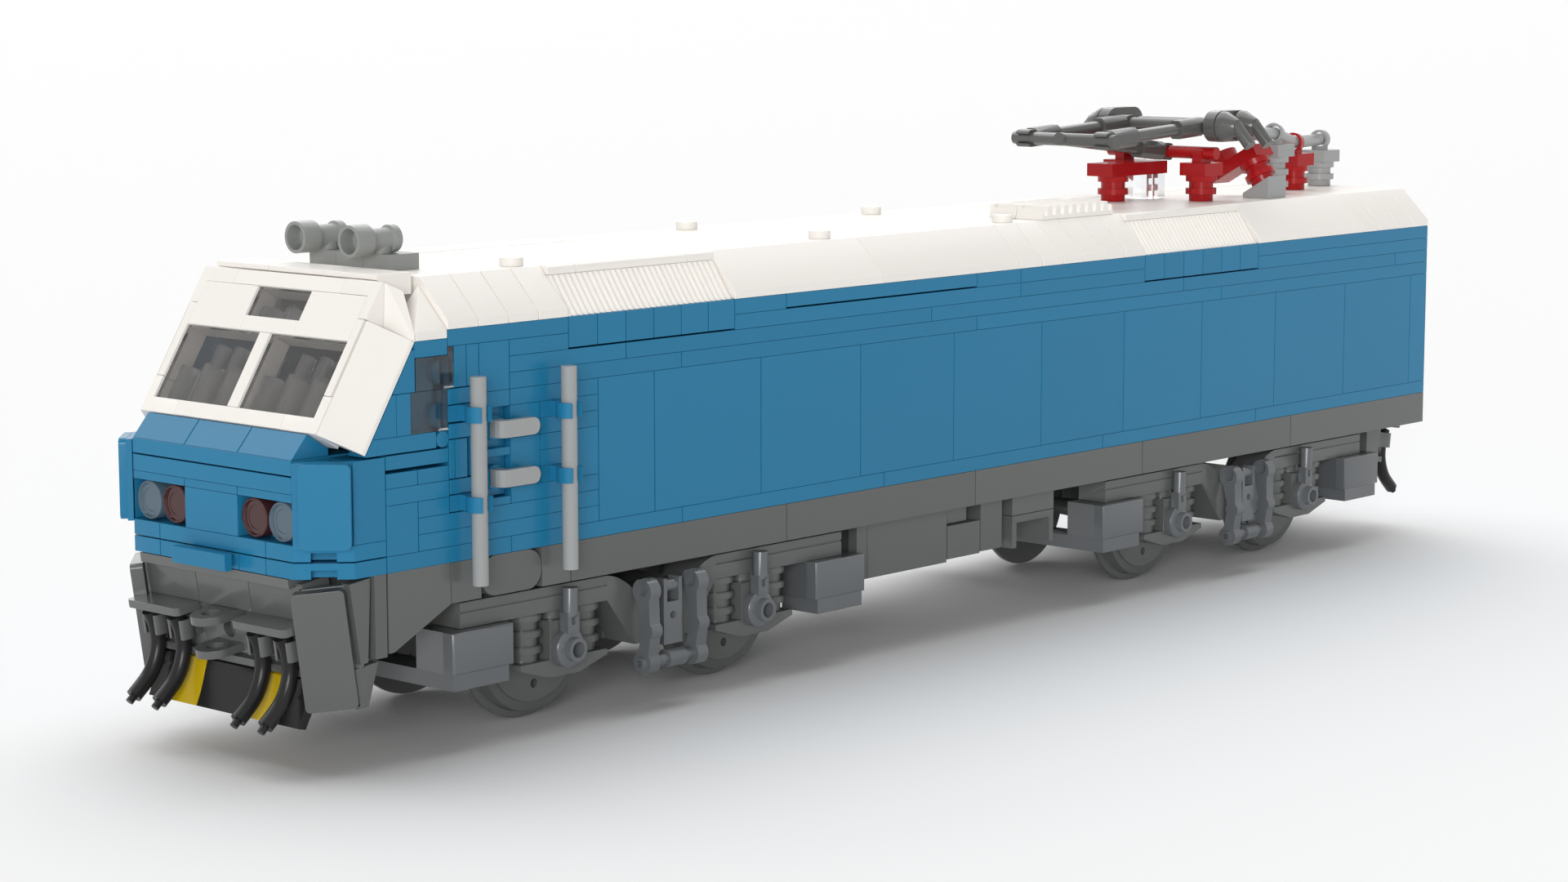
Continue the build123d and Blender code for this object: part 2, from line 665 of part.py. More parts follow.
def cab_side_glass():
    """Clear smoky panes of the cab side windows."""
    ys = (HALF_WIDTH - 0.1 - PANE_T, HALF_WIDTH - 0.1)
    panes = [block([x - HALF_LENGTH for x in xs], ys, [SILL_Z + z for z in zs]) for xs, zs in CAB_GLASS]
    corner = block((350.5 - HALF_LENGTH, 351.95 - HALF_LENGTH), ys, (SILL_Z + 39.9, SILL_Z + 41.5))
    return mirrored([panes[0] + corner, panes[1]])


CORNER_SLOPE_Z = (SILL_Z + 43.2, SILL_Z + 52.8)


def cab_corner_slopes():
    """Corner slopes between the eaves and the windscreen."""
    piece = block((station(44) + SEAM, station(45)), (HALF_WIDTH - STUD, HALF_WIDTH), CORNER_SLOPE_Z)
    lip = CORNER_SLOPE_Z[0] + LIP
    piece = trimmed(piece, (station(45), 0, lip), (1, 0, 1))
    piece = trimmed(piece, (0, HALF_WIDTH, lip), (0, 1, 1))
    return mirrored([piece])


CAP_ROWS = [(-24, -8), (-8, 8), (8, 24)]
CAP = [(353.7, 55.4), (362.3, 55.4), (362.4, 54.45), (355.4, 51.2), (353.7, 51.2)]


def cab_roof():
    """Roof caps over the windscreen and the deck piece behind them."""
    outline = [(x - HALF_LENGTH, SILL_Z + z) for x, z in CAP]
    caps = [profile(outline, (y0 + SEAM, y1 - SEAM)) for y0, y1 in CAP_ROWS]
    xs = (station(42) + SEAM, 353.6 - HALF_LENGTH)
    deck = block(xs, (-DECK_HALF, DECK_HALF), (ROOF_Z - PLATE, ROOF_Z))
    return caps + [deck]


# Doors

# first and last stud line, lower and upper edge in plates above the sill
DOOR_BRICKS = [
    (42, 43, 10, 13),
    (43, 43.4, 10.5, 13),
    (43.4, 43.8, 10.5, 13),
    (39, 42, 9, 10),
    (42, 43, 9, 10),
    (39, 40, 8, 9),
    (39, 40, 7, 8),
    (39, 40, 4, 7),
    (40, 41, 7, 8),
    (40, 41, 6, 7),
    (40, 41, 5, 6),
    (41, 42, 7, 9),
    (41, 42, 4, 7),
    (39, 42, 3, 4),
    (42, 43, 3, 3.5),
    (39, 45, 2, 3),
    (39, 45, 1, 2),
    (43, 44, 9.5, 10.45),
    (43, 44, 7.45, 8.35),
    (43.8, 44, 5.05, 7.4),
    (43.4, 43.8, 5.05, 7.4),
    (43, 43.3, 5.05, 7.4),
    (43, 44, 4.1, 5),
    (44, 45, 3, 4),
    (45, 46, 1, 4),
    (44, 46, 4, 5),
    (44, 45, 5, 5.9),
    (45, 46, 5, 5.9),
    (44, 46, 6.1, 6.95),
]
# stud line of the pole, stud lines and plates of the brick that carries its clip
CLIPS = [(43.5, 43, 44, 8.45, 9.45), (43.5, 43, 44, 3.05, 4.05), (40.5, 40, 41, 8, 9), (40.5, 40, 41, 4, 5)]
POLES = [43.5, 40.5]
POLE_Y = HALF_WIDTH + 4.0
POLE_Z = (SILL_Z - 4.5, SILL_Z + 35.8)
RECESS = (42, 43, 3.55, 9)
RECESS_DEPTH = STUD_H
SHELF = (6.0, 6.5)
LEVER_S = 42.5
LEVER_LEVELS = [24.8, 15.2]


def door_brick(s0, s1, p0, p1):
    """Wall brick given in stud lines and plates above the sill."""
    return brick(s0, s1, WALL_YS, (SILL_Z + p0 * PLATE, SILL_Z + p1 * PLATE))


def door_blocks():
    """Bricks of the cab door and its surround, with the stepped recess of the levers."""
    bricks = [door_brick(*row) for row in DOOR_BRICKS]
    s0, s1, p0, p1 = RECESS
    back = door_brick(s0, s1, p0, p1)
    back -= block((station(s0), station(s1)), (HALF_WIDTH - RECESS_DEPTH, HALF_WIDTH + 1),
                  (SILL_Z + p0 * PLATE - 1, SILL_Z + SHELF[0] * PLATE))
    back -= block((station(s0), station(s1)), (HALF_WIDTH - RECESS_DEPTH, HALF_WIDTH + 1),
                  (SILL_Z + SHELF[1] * PLATE, SILL_Z + p1 * PLATE + 1))
    x = station(LEVER_S)
    for level in LEVER_LEVELS:
        z = SILL_Z + level
        back += rod((x, HALF_WIDTH - RECESS_DEPTH - 0.5, z), (x, HALF_WIDTH - 0.05, z), STUD_R)
    return mirrored(bricks + [back])


LEVER_PLAN = [(1.5, 0.0), (1.5, 1.6), (1.2, 2.5), (0.4, 3.2), (-0.6, 3.4), (-8.8, 3.4), (-8.8, 1.8),
              (-1.5, 1.8),
              (-1.5, 0.0)]
LEVER_HALF = 1.7


def door_levers():
    """Light levers that turn off their studs and run back along the door."""
    pieces = []
    for level in LEVER_LEVELS:
        z = SILL_Z + level
        outline = [(station(LEVER_S) + x, HALF_WIDTH + y) for x, y in LEVER_PLAN]
        lever = plan(outline, (z - LEVER_HALF, z + LEVER_HALF))
        tip = lever.edges().filter_by(Axis.Y).group_by(Axis.X)[0]
        pieces.append(fillet(tip, LEVER_HALF - 0.05))
    return mirrored(pieces)


def handrails():
    """Upright grab poles, two a side."""
    poles = [rod((station(s), POLE_Y, POLE_Z[0]), (station(s), POLE_Y, POLE_Z[1]), BAR_R) for s in POLES]
    return mirrored(poles)


def handrail_clips():
    """Wall plates whose clips hold the poles, open on the outer side."""
    clips = []
    for s, s0, s1, p0, p1 in CLIPS:
        x = station(s)
        plate = door_brick(s0, s1, p0, p1)
        z0 = SILL_Z + p0 * PLATE + 0.1
        z1 = SILL_Z + p1 * PLATE - 0.1
        ring = rod((x, POLE_Y, z0), (x, POLE_Y, z1), BAR_R + 1.0)
        arm = block((x - 1.4, x + 1.4), (HALF_WIDTH - 1, POLE_Y), (z0, z1))
        bore = rod((x, POLE_Y, z0 - 1), (x, POLE_Y, z1 + 1), BAR_R + CLIP_CLEARANCE)
        mouth = block((x - 1.25, x + 1.25), (POLE_Y + 0.4, POLE_Y + 4), (z0 - 1, z1 + 1))
        clips.append(plate + ring + arm - bore - mouth)
    return mirrored(clips)


# Front and rear ends below the floor

LEAN = 8.3
APRON_HALF = 24.0
APRON_WALL = -1.9
APRON_BACK = -8.5
APRON_DEEP = 18.6
STEP_DROP = 7.4
STEP_FRONT = 3.76
STEP_T = 1.6
LUG_T = 1.6
LUG_R = 4.0
LUG_BORE_R = 1.7
LUG_REACH = 1.8
LUG_DROPS = [7.5, 14.1]
HOSE_YS = [-20.0, -12.0, 12.0, 20.0]
HOSE_R = 1.6
ENDS = {"front": 0, "rear": 180}


def leaned(shape, end):
    """Shape drawn forward, across and up from the apron's top edge, in place at one end."""
    placed = Pos(NOSE_X, 0, SILL_Z - 1.4) * Rot(0, LEAN, 0) * shape
    return Rot(0, 0, ENDS[end]) * placed


def apron(end):
    """Leaning panel below the floor that carries the couplings, with its two seams."""
    wall = block((APRON_BACK, APRON_WALL), (-APRON_HALF, APRON_HALF), (-STEP_DROP, 0))
    for y in (-STUD, STUD):
        wall -= block((APRON_WALL - 0.5, APRON_WALL + 1), (y - SEAM, y + SEAM), (-STEP_DROP - 1, 1))
    band = block((APRON_BACK, -0.1), (-22.4, 22.4), (-0.6, 1.3))
    lower = block((APRON_BACK, APRON_WALL - 1.6), (-22, 22), (-APRON_DEEP, -STEP_DROP + 0.1))
    rib = block((APRON_WALL - 1.7, APRON_WALL + 0.3), (-22, 22), (-APRON_DEEP, -APRON_DEEP + 1.5))
    shape = trimmed(leaned(wall + band + lower + rib, "front"), (0, 0, SILL_Z - 0.1), (0, 0, 1))
    shape = clear_of_skirts(shape)
    hanger = block((FLOOR_END + 0.1, FLOOR_END + 5.5), (-22, 22), (SILL_Z - 18.0, SILL_Z - 0.1))
    return [Rot(0, 0, ENDS[end]) * (shape + hanger)]


def step_plates(end):
    """Step plates in front of the apron."""
    ys = (STUD + SEAM, 3 * STUD - SEAM)
    plate = block((APRON_WALL + 0.05, STEP_FRONT), ys, (-STEP_DROP - STEP_T, -STEP_DROP))
    plate = fillet(plate.edges().filter_by(Axis.Z).group_by(Axis.X)[-1], 1.2)
    plates = [clear_of_skirts(leaned(shape, "front")) for shape in mirrored([plate])]
    return [Rot(0, 0, ENDS[end]) * shape for shape in plates]


BRACKET_DROPS = (-16.2, -9.3)


def coupler_lugs(end):
    """Two drilled lugs, one above the other, the lower one on a drilled bracket."""
    lugs = []
    for drop in LUG_DROPS:
        back = APRON_WALL + 0.05 if drop < STEP_DROP else APRON_WALL - 1.55
        lug = block((back, LUG_REACH), (-LUG_R, LUG_R), (-drop - LUG_T, -drop))
        lug += Pos(LUG_REACH, 0, -drop - LUG_T / 2) * Cylinder(LUG_R, LUG_T)
        lug -= Pos(LUG_REACH, 0, -drop - LUG_T / 2) * Cylinder(LUG_BORE_R, 3 * LUG_T)
        if drop > STEP_DROP + LUG_T:
            bracket = block((back, APRON_WALL - 0.1), (-7.4, 7.4), BRACKET_DROPS)
            lug += bracket - rod((back - 1, 0, -11.9), (APRON_WALL + 1, 0, -11.9), LUG_BORE_R)
        lugs.append(leaned(lug, end))
    return lugs


HOSE_PATH = [(1.3, -9.8), (0.4, -13.0), (0.6, -17.5), (3.2, -22.0), (8.0, -25.4)]


def brake_hoses(end):
    """Moulded black hose ends that curve down and forward to a small nozzle."""
    hoses = []
    for y in HOSE_YS:
        path = Spline(*[(u, y, w) for u, w in HOSE_PATH])
        start = path @ 0
        hose = sweep(Plane(origin=start, z_dir=path % 0) * Circle(HOSE_R), path=path)
        tip = path @ 1
        ahead = path % 1
        hose += rod(tip - ahead * 0.5, tip + ahead * 1.5, HOSE_R * 0.5)
        hoses.append(leaned(hose, end))
    return hoses


CLIP_GRIP = (-14.6, -10.6)


def hose_clips(end):
    """Grey clips, open to the front, that hold the hoses to the apron."""
    clips = []
    for y in HOSE_YS:
        clip = block((APRON_WALL - 1.55, 0.0), (y - 1.6, y + 1.6), CLIP_GRIP)
        clip += rod((0.35, y, CLIP_GRIP[0]), (0.35, y, CLIP_GRIP[1]), HOSE_R + 0.95)
        clip -= rod((0.35, y, -16), (0.35, y, -9), HOSE_R + 0.35)
        clip -= block((0.9, 5), (y - 1.4, y + 1.4), (-16, -9))
        clip -= block((1.9, 5), (y - 4, y + 4), (-16, -9))
        clips.append(leaned(clip, end))
    return clips


PLOUGH_FRONT = [(-3.6, -18.9), (-1.7, -19.1), (-0.9, -20.8), (0.0, -22.8), (1.1, -25.0), (2.5, -27.3)]
PLOUGH_BACK = [(0.9, -27.9), (-1.6, -24.6), (-3.2, -21.6), (-4.4, -20.0)]
PLOUGH_BLACK = [(-23.0, -16.0), (-8.0, 8.0), (16.0, 23.0)]
PLOUGH_YELLOW = [(-16.0, -8.0), (8.0, 16.0)]


def plough(spans):
    """Curved plough pieces below the front apron, between pairs of Y seams."""
    outline = PLOUGH_FRONT + PLOUGH_BACK
    return [clear_of_skirts(leaned(profile(outline, (y0 + SEAM, y1 - SEAM)), "front")) for y0, y1 in spans]


SKIRT_DROP = (1.2, 24.4)
SKIRT_WIDE = 10.0
SKIRT_T = 2.6


# name, inset, thickness, drops of top and bottom, shift along the chamfer, corner radius
SKIRT_LAYERS = [
    ("outer", 0.0, SKIRT_T, SKIRT_DROP, 1.5, 1.0),
    ("inner", SKIRT_T + 0.05, 1.5, (1.0, 17.4), -0.2, 0.4),
]


def skirt_layer(inset, thick, drop, slide, radius, grown=0.0):
    """One layer of a corner panel, square with the cut corner, grown where it is to cut."""
    panel = Box(thick + 2 * grown, SKIRT_WIDE + 2 * grown, drop[1] - drop[0] + 2 * grown)
    if grown == 0:
        panel = fillet(panel.edges().filter_by(Axis.X), radius)
    shift = CHAMFER / 2 + SKIRT_T / 2 * sin(radians(45)) - 0.9
    placed = Pos(-inset - (thick - SKIRT_T) / 2, -slide, 0) * panel
    at = Pos(-shift, HALF_WIDTH - shift, -sum(drop) / 2)
    return leaned(at * Rot(0, 0, 45) * placed, "front")


def clear_of_skirts(shape):
    """Shape with room left for the corner panels."""
    for panel in mirrored([skirt_layer(*layer[1:], grown=0.05) for layer in SKIRT_LAYERS]):
        shape -= panel
    return shape


def corner_skirts():
    """Grey panels below the cut corners of the nose, a large one over a shorter one."""
    return mirrored([skirt_layer(*layer[1:]) for layer in SKIRT_LAYERS])


# name, outline, inset from the wall, thickness
WEDGES = [
    ("long_wedge", [(352.1, 0.0), (352.1, -8.0), (366.6, -15.3), (367.9, -15.3), (367.9, 0.0)], 0.0, 3.2),
    ("strip", [(368.3, 0.0), (368.3, -15.9), (371.2, -15.9), (371.2, 0.0)], 0.0, 3.2),
    ("gusset", [(371.5, -0.4), (372.4, -16.4), (374.2, -16.6), (376.6, -1.0)], 0.8, 2.3),
    ("foot", [(369.2, -16.8), (371.8, -25.1), (374.4, -25.2), (375.6, -17.6)], 1.6, 2.3),
]


def side_skirts():
    """Grey wedges that carry the sill line down to the corner panels."""
    pieces = []
    for _, outline, inset, thick in WEDGES:
        points = [(x - HALF_LENGTH, z + SILL_Z) for x, z in outline]
        face = HALF_WIDTH - inset
        piece = profile(points, (face - thick, face))
        pieces.append(clear_of_skirts(piece))
    return mirrored(pieces)


# Underframe boxes between the bogies

EQUIPMENT = [
    ("layered_case", (197.3, 225.0), (14.0, 28.0), (-20.9, -8.0)),
    ("case_cover", (225.0, 228.6), (25.5, 28.0), (-20.9, -8.0)),
    ("tank", (177.2, 185.1), (14.0, 28.0), (-20.0, -8.0)),
    ("vent_case", (185.3, 197.1), (14.0, 28.0), (-20.3, -12.6)),
    ("vent_back", (188.4, 197.1), (14.0, 26.5), (-12.5, -8.0)),
    ("small_case", (157.6, 173.4), (14.0, 28.0), (-13.2, -8.0)),
]


def underframe_boxes():
    """Equipment cases hung under the floor, the same on both sides."""
    pieces = []
    for _, xs, ys, zs in EQUIPMENT:
        pieces.append(block((xs[0] - HALF_LENGTH + 0.05, xs[1] - HALF_LENGTH - 0.05), ys,
                            (SILL_Z + zs[0], SILL_Z + zs[1] - 0.05)))
    bracket = block((157.7 - HALF_LENGTH, 173.3 - HALF_LENGTH), (18.0, 28.0), (SILL_Z - 20.9, SILL_Z - 13.3))
    inside = (159.3 - HALF_LENGTH, 171.7 - HALF_LENGTH)
    bracket -= block(inside, (17.0, 29.0), (SILL_Z - 22.0, SILL_Z - 15.0))
    return mirrored(pieces + [bracket])


def centre_keel():
    """Plain chassis block between the underframe cases."""
    xs = (157.7 - HALF_LENGTH, 228.5 - HALF_LENGTH)
    return [block(xs, (-13.9, 13.9), (SILL_Z - 12.0, FLOOR_Z - 0.05))]


# Bogies


def seat_outline(x):
    """Side outline of the axle seat below one axle."""
    return [(x - 12, SEAT_TOP), (x + 12, SEAT_TOP), (x + 12, SEAT_TOP - 1.2), (x + 4.2, SEAT_BOTTOM),
            (x - 4.2, SEAT_BOTTOM), (x - 12, SEAT_TOP - 1.2)]


DIP = [(16.0, 0.0), (14.6, -0.25), (12.6, -0.95), (10.6, -2.1), (9.2, -3.1), (8.0, -4.1)]
BEAM_LINE = (SILL_Z - 10.8, SILL_Z - 10.5)


def side_frame():
    """One side frame: layered beam with its curved dip, axle columns and seats."""
    half = WHEELBASE / 2
    dip = [(a, BEAM_TOP + h) for a, h in DIP]
    beam = [(-BEAM_HALF, BEAM_BOTTOM), (-16, BEAM_BOTTOM), (-8, SEAT_TOP - 0.4), (8, SEAT_TOP - 0.4),
            (16, BEAM_BOTTOM), (BEAM_HALF, BEAM_BOTTOM), (BEAM_HALF, BEAM_TOP)]
    beam += dip + [(-a, z) for a, z in reversed(dip)] + [(-BEAM_HALF, BEAM_TOP)]
    side = profile(beam, (FRAME_IN, FRAME_OUT))
    for a, b in ((-BEAM_HALF - 1, -16), (16, BEAM_HALF + 1)):
        side -= block((a, b), (FRAME_OUT - 0.35, FRAME_OUT + 1), BEAM_LINE)
    for axle in (-half, half):
        side += block((axle - 4, axle + 4), (FRAME_IN, FRAME_OUT), (SEAT_TOP - 0.2, COLUMN_TOP))
        side += Pos(axle, (FRAME_IN + FRAME_OUT) / 2, (COLUMN_TOP + BEAM_BOTTOM) / 2) * Cylinder(2.8, 3.2)
        side += profile(seat_outline(axle), (FRAME_IN, FRAME_OUT))
        side -= rod((axle, FRAME_IN - 1, AXLE_Z), (axle, AXLE_END + 0.3, AXLE_Z), BAR_R + BEARING_CLEARANCE)
    return side


def bogie_frame(x):
    """Two side frames, and the transom with its turntable and kingpin."""
    core = block((-9.5, 9.5), (-FRAME_IN + 0.05, FRAME_IN - 0.05), (SEAT_TOP, BEAM_TOP - 4.2))
    core += rod((0, 0, BEAM_TOP - 4.3), (0, 0, FLOOR_Z - 0.2), TURNTABLE_R)
    core += Pos(0, 0, FLOOR_Z + 1.2) * Cylinder(PIVOT_R, 3.2)
    return [Pos(x, 0, 0) * shape for shape in mirrored([side_frame()]) + [core]]


def bogie_springs(x):
    """Piles of round plates either side of each axle column."""
    top = BEAM_BOTTOM - 0.03
    height = top - SEAT_TOP - 0.06
    flange = 1.4
    neck = (height - 3 * flange) / 2
    outline = [(0, 0)]
    z = 0.0
    for i in range(3):
        outline += [(ROUND_R - 0.05, z), (ROUND_R - 0.05, z + flange)]
        z += flange
        if i < 2:
            outline += [(ROUND_NECK_R, z), (ROUND_NECK_R, z + neck)]
            z += neck
    outline.append((0, z))
    half = WHEELBASE / 2
    springs = []
    for axle in (-half, half):
        for side in (-STUD, STUD):
            springs.append(turned(outline, (x + axle + side, 26.0, SEAT_TOP + 0.03)))
    return mirrored(springs)


def axle_hubs(x):
    """Round hub covers with a hollow stud and an upright stem."""
    half = WHEELBASE / 2
    base = FRAME_OUT + 0.03
    face = HUB_FACE - base
    outline = [(0, 0), (3.9, 0), (3.9, face - 2.2), (3.6, face - 1.9), (2.4, face - 1.7), (2.4, face),
               (1.6, face), (1.6, 1.0), (0, 1.0)]
    hubs = []
    for axle in (-half, half):
        at = x + axle
        hub = turned(outline, (at, base, AXLE_Z), (0, 1, 0))
        stem_y = base + 1.65
        hub += block((at - 1.6, at + 1.6), (base + 0.3, base + 2.6), (AXLE_Z + 3.2, AXLE_Z + 7.4))
        hub += rod((at, stem_y, AXLE_Z + 6.6), (at, stem_y, AXLE_Z + 12.4), BAR_R)
        slot = block((at - 0.5, at + 0.5), (base + 2.0, base + 4), (AXLE_Z + 4.9, AXLE_Z + 6.9))
        hubs.append(hub - fillet(slot.edges().filter_by(Axis.Y), 0.45))
    return mirrored(hubs)


def sandboxes(x):
    """Boxes with smooth rounded covers at the four corners of a bogie."""
    boxes = []
    for end in (-1, 1):
        xs = sorted((x + end * 44.5, x + end * 60.5))
        cover = block(xs, (BOX_FACE - 3.0, BOX_FACE), (BOX_BOTTOM, BEAM_BOTTOM - 0.05))
        cover = chamfer(cover.faces().sort_by(Axis.Y)[-1].edges(), 0.35)
        inner = (xs[0] + 0.2, xs[1] - 0.2)
        body = block(inner, (FRAME_IN, BOX_FACE - 3.0), (BOX_BOTTOM, BEAM_BOTTOM - 0.05))
        boxes.append(cover + body)
    return mirrored(boxes)


def end_beams(x):
    """Cross beams under the sandboxes at both ends of a bogie."""
    beams = []
    for end in (-1, 1):
        xs = sorted((x + end * 52.5, x + end * 60.0))
        beam = block(xs, (-32.4, 32.4), (STEP_BOTTOM, BOX_BOTTOM - 0.05))
        for side in (-1, 1):
            tail = sorted((x + end * 45.5, x + end * 52.6))
            ys = sorted((side * FRAME_IN, side * 32.4))
            beam += block(tail, ys, (STEP_BOTTOM, BOX_BOTTOM - 0.05))
        beams.append(beam)
    return beams


LINK_T = 3.0
# name, X of the arm, (Y, height, radius) of its cup, elbow and ring
LINK_ARMS = [
    ("leading", 7.6, (33.0, -12.6, 2.6), (34.2, -20.7, 1.8), (33.0, -27.4, 2.4)),
    ("trailing", -6.5, (33.0, -12.4, 2.6), (34.0, -21.0, 1.8), (33.0, -27.4, 2.4)),
]
LINK_PIN_R = 1.3


def link_arm(x, cup, elbow, ring):
    """Jointed arm in a plane across the vehicle: open cup, elbow knuckle and bottom ring."""
    xs = (x - LINK_T / 2, x + LINK_T / 2)
    arm = None
    for y, drop, radius in (cup, elbow, ring):
        knuckle = rod((xs[0], y, SILL_Z + drop), (xs[1], y, SILL_Z + drop), radius)
        arm = knuckle if arm is None else arm + knuckle
    for (ya, za, ra), (yb, zb, rb) in ((cup, elbow), (elbow, ring)):
        wide = (ra * 0.75, rb * 0.62)
        quad = [(ya - wide[0], SILL_Z + za), (yb - wide[1], SILL_Z + zb), (yb + wide[1], SILL_Z + zb),
                (ya + wide[0], SILL_Z + za)]
        arm += section(quad, xs)
    y, drop, _ = cup
    arm -= rod((x + 0.2, y, SILL_Z + drop + 0.6), (x + LINK_T, y, SILL_Z + drop + 0.6), 1.6)
    arm -= block((x + 0.2, x + LINK_T), (y - 1.3, y + 1.3), (SILL_Z + drop + 0.6, SILL_Z + drop + 4))
    return arm


def link_gear(x):
    """Two jointed arms on a cross pin, and the hinge block between them."""
    face = FRAME_OUT + 0.05
    shapes = []
    gear = None
    for _, dx, cup, elbow, ring in LINK_ARMS:
        arm = link_arm(x + dx, cup, elbow, ring)
        gear = arm if gear is None else gear + arm
    y, drop, _ = LINK_ARMS[0][4]
    z = SILL_Z + drop
    gear += rod((x - 8.5, y, z), (x + 10.0, y, z), LINK_PIN_R)
    gear += rod((x - 2.5, y, z), (x + 2.5, y, z), 1.9)
    gear -= rod((x + 8.6, y, z), (x + 11.0, y, z), 0.7)
    shapes.append(gear)
    hinge = block((x - 2.7, x + 2.7), (face, face + 3.0), (SILL_Z - 24.6, SILL_Z - 15.8))
    for side in (-2.2, 2.2):
        hinge += block((x + side - 0.5, x + side + 0.5), (face, face + 3.0), (SILL_Z - 16.0, SILL_Z - 10.9))
    hinge += rod((x - 2.3, face + 1.5, SILL_Z - 12.6), (x + 2.3, face + 1.5, SILL_Z - 12.6), 1.3)
    hinge -= rod((x, face + 1, SILL_Z - 18.6), (x, face + 5, SILL_Z - 18.6), 0.8)
    shapes.append(hinge)
    return mirrored(shapes)


def wheelset(x):
    """Axle with two flanged wheels."""
    end = AXLE_END
    inner = FLANGE_OUT - FLANGE_T
    outer = FLANGE_OUT + TREAD_W
    outline = [(0, -end), (BAR_R, -end), (BAR_R, -outer - 0.8), (3.0, -outer - 0.8), (3.0, -outer),
               (WHEEL_FACE_R, -outer), (WHEEL_FACE_R, -outer + 0.5), (TREAD_R - 0.4, -outer + 0.3),
               (TREAD_R, -FLANGE_OUT), (FLANGE_R - 0.4, -FLANGE_OUT), (FLANGE_R, -FLANGE_OUT + 0.4),
               (FLANGE_R, -inner), (3.0, -inner), (3.0, -inner + 3), (BAR_R, -inner + 3)]
    outline += [(r, -h) for r, h in reversed(outline[1:-1])] + [(0, end)]
    outline = [(0, -end)] + [p for p in outline[1:]]
    solid = turned(outline, (0, 0, 0), (0, 1, 0))
    for i in range(6):
        angle = radians(60 * i + 30)
        px = 8.6 * cos(angle)
        pz = 8.6 * sin(angle)
        solid -= rod((px, -outer - 1, pz), (px, outer + 1, pz), 0.9)
    return [Pos(x, 0, AXLE_Z) * solid]


# Roof gear


def panto_base():
    """Red insulators, their plates and clips, and the pivot bar."""
    pieces = []
    outline = round_stack(2)
    for side in (-1, 1):
        y = side * PANTO_ARM_Y
        stack = turned(outline, (PANTO_BASE_X, y, ROOF_Z + 0.04))
        plate_z = ROOF_Z + 2 * PLATE + 0.04
        post_z = (plate_z + PLATE - 0.1, PANTO_BASE_Z + 0.6)
        xs = (PANTO_BASE_X - 3.9, PANTO_BASE_X + 3.9)
        stack += block(xs, (y - 3.9, y + 3.9), (plate_z, plate_z + PLATE))
        stack += block((PANTO_BASE_X - 2.2, PANTO_BASE_X + 2.2), (y - 1.4, y + 1.4), post_z)
        pieces.append(stack)
    reach = PANTO_ARM_Y + 4.6
    bar = rod((PANTO_BASE_X, -reach, PANTO_BASE_Z), (PANTO_BASE_X, reach, PANTO_BASE_Z), BAR_R)
    return [pieces[0] + pieces[1] + bar]


def beam_insulator():
    """Low insulator with the long red beam."""
    x = 92.5 - HALF_LENGTH
    stack = turned(round_stack(2), (x, -4.0, ROOF_Z + 0.04))
    z = ROOF_Z + 2 * PLATE + 0.04
    beam = block((74.6 - HALF_LENGTH, 98.2 - HALF_LENGTH), (-8.0, -0.1), (z, z + PLATE))
    return [stack + beam]


def clear_block():
    """Clear block under the rear end of the red beam."""
    xs = (75.5 - HALF_LENGTH, 83.3 - HALF_LENGTH)
    return [block(xs, (-7.9, -0.2), (ROOF_Z + 0.04, ROOF_Z + 2 * PLATE))]


GREY_POSTS = [(4.0, 0.0, 2), (23.5, 4.5, 2), (40.3, 9.4, 3)]


POST_RING = (BAR_R + 0.36, BAR_R + 1.0, 2.2)


def post_top(index):
    """Point on the conductor above a post."""
    x, y, count = GREY_POSTS[index]
    return Vector(x - HALF_LENGTH, y, ROOF_Z + (count + 1) * PLATE + 1.25 + BAR_R)


def post_insulators(indices):
    """Round insulators with a square plate and a clip ring round the conductor."""
    posts = []
    bore, outer, wide = POST_RING
    for i in indices:
        x, y, count = GREY_POSTS[i]
        x -= HALF_LENGTH
        post = turned(round_stack(count), (x, y, ROOF_Z + 0.04))
        z = ROOF_Z + count * PLATE + 0.04
        post += block((x - 3.9, x + 3.9), (y - 3.9, y + 3.9), (z, z + PLATE))
        top = post_top(i)
        run = (post_top(min(i + 1, 2)) - post_top(max(i - 1, 0))).normalized()
        post += block((x - 1.2, x + 1.2), (y - 1.8, y + 1.8), (z + PLATE - 0.1, top.Z - BAR_R - 0.2))
        post += rod(top - run * (wide / 2), top + run * (wide / 2), outer)
        post -= rod(top - run * 6, top + run * 6, bore)
        post -= Pos(*top) * Sphere(bore)
        posts.append(post)
    return posts


CONDUCTOR_END = (58.0 - HALF_LENGTH, 14.0, 0.5)


def bus_bar():
    """Light-grey conductor through the clips of the posts and a little past the last."""
    points = [post_top(i) for i in range(3)]
    start = points[0] - (points[1] - points[0]).normalized() * 4
    bar = rod(start, points[1], BAR_R) + rod(points[1], points[2], BAR_R)
    bar += Pos(*points[1]) * Sphere(BAR_R)
    bar += Pos(*points[2]) * Sphere(BAR_R)
    x, y, rise = CONDUCTOR_END
    return [bar + rod(points[2], Vector(x, y, points[2].Z + rise), BAR_R)]


def wedge_block():
    """Grey cheese-shaped wedge that carries the leaning insulator."""
    ys = (13.4, 21.3)
    corners = [(ys[0], ROOF_Z + 0.04), (ys[1], ROOF_Z + 0.04), (ys[1], ROOF_Z + 5.8), (ys[0], ROOF_Z + 1.2)]
    return [section(corners, (52.3 - HALF_LENGTH, 60.2 - HALF_LENGTH))]


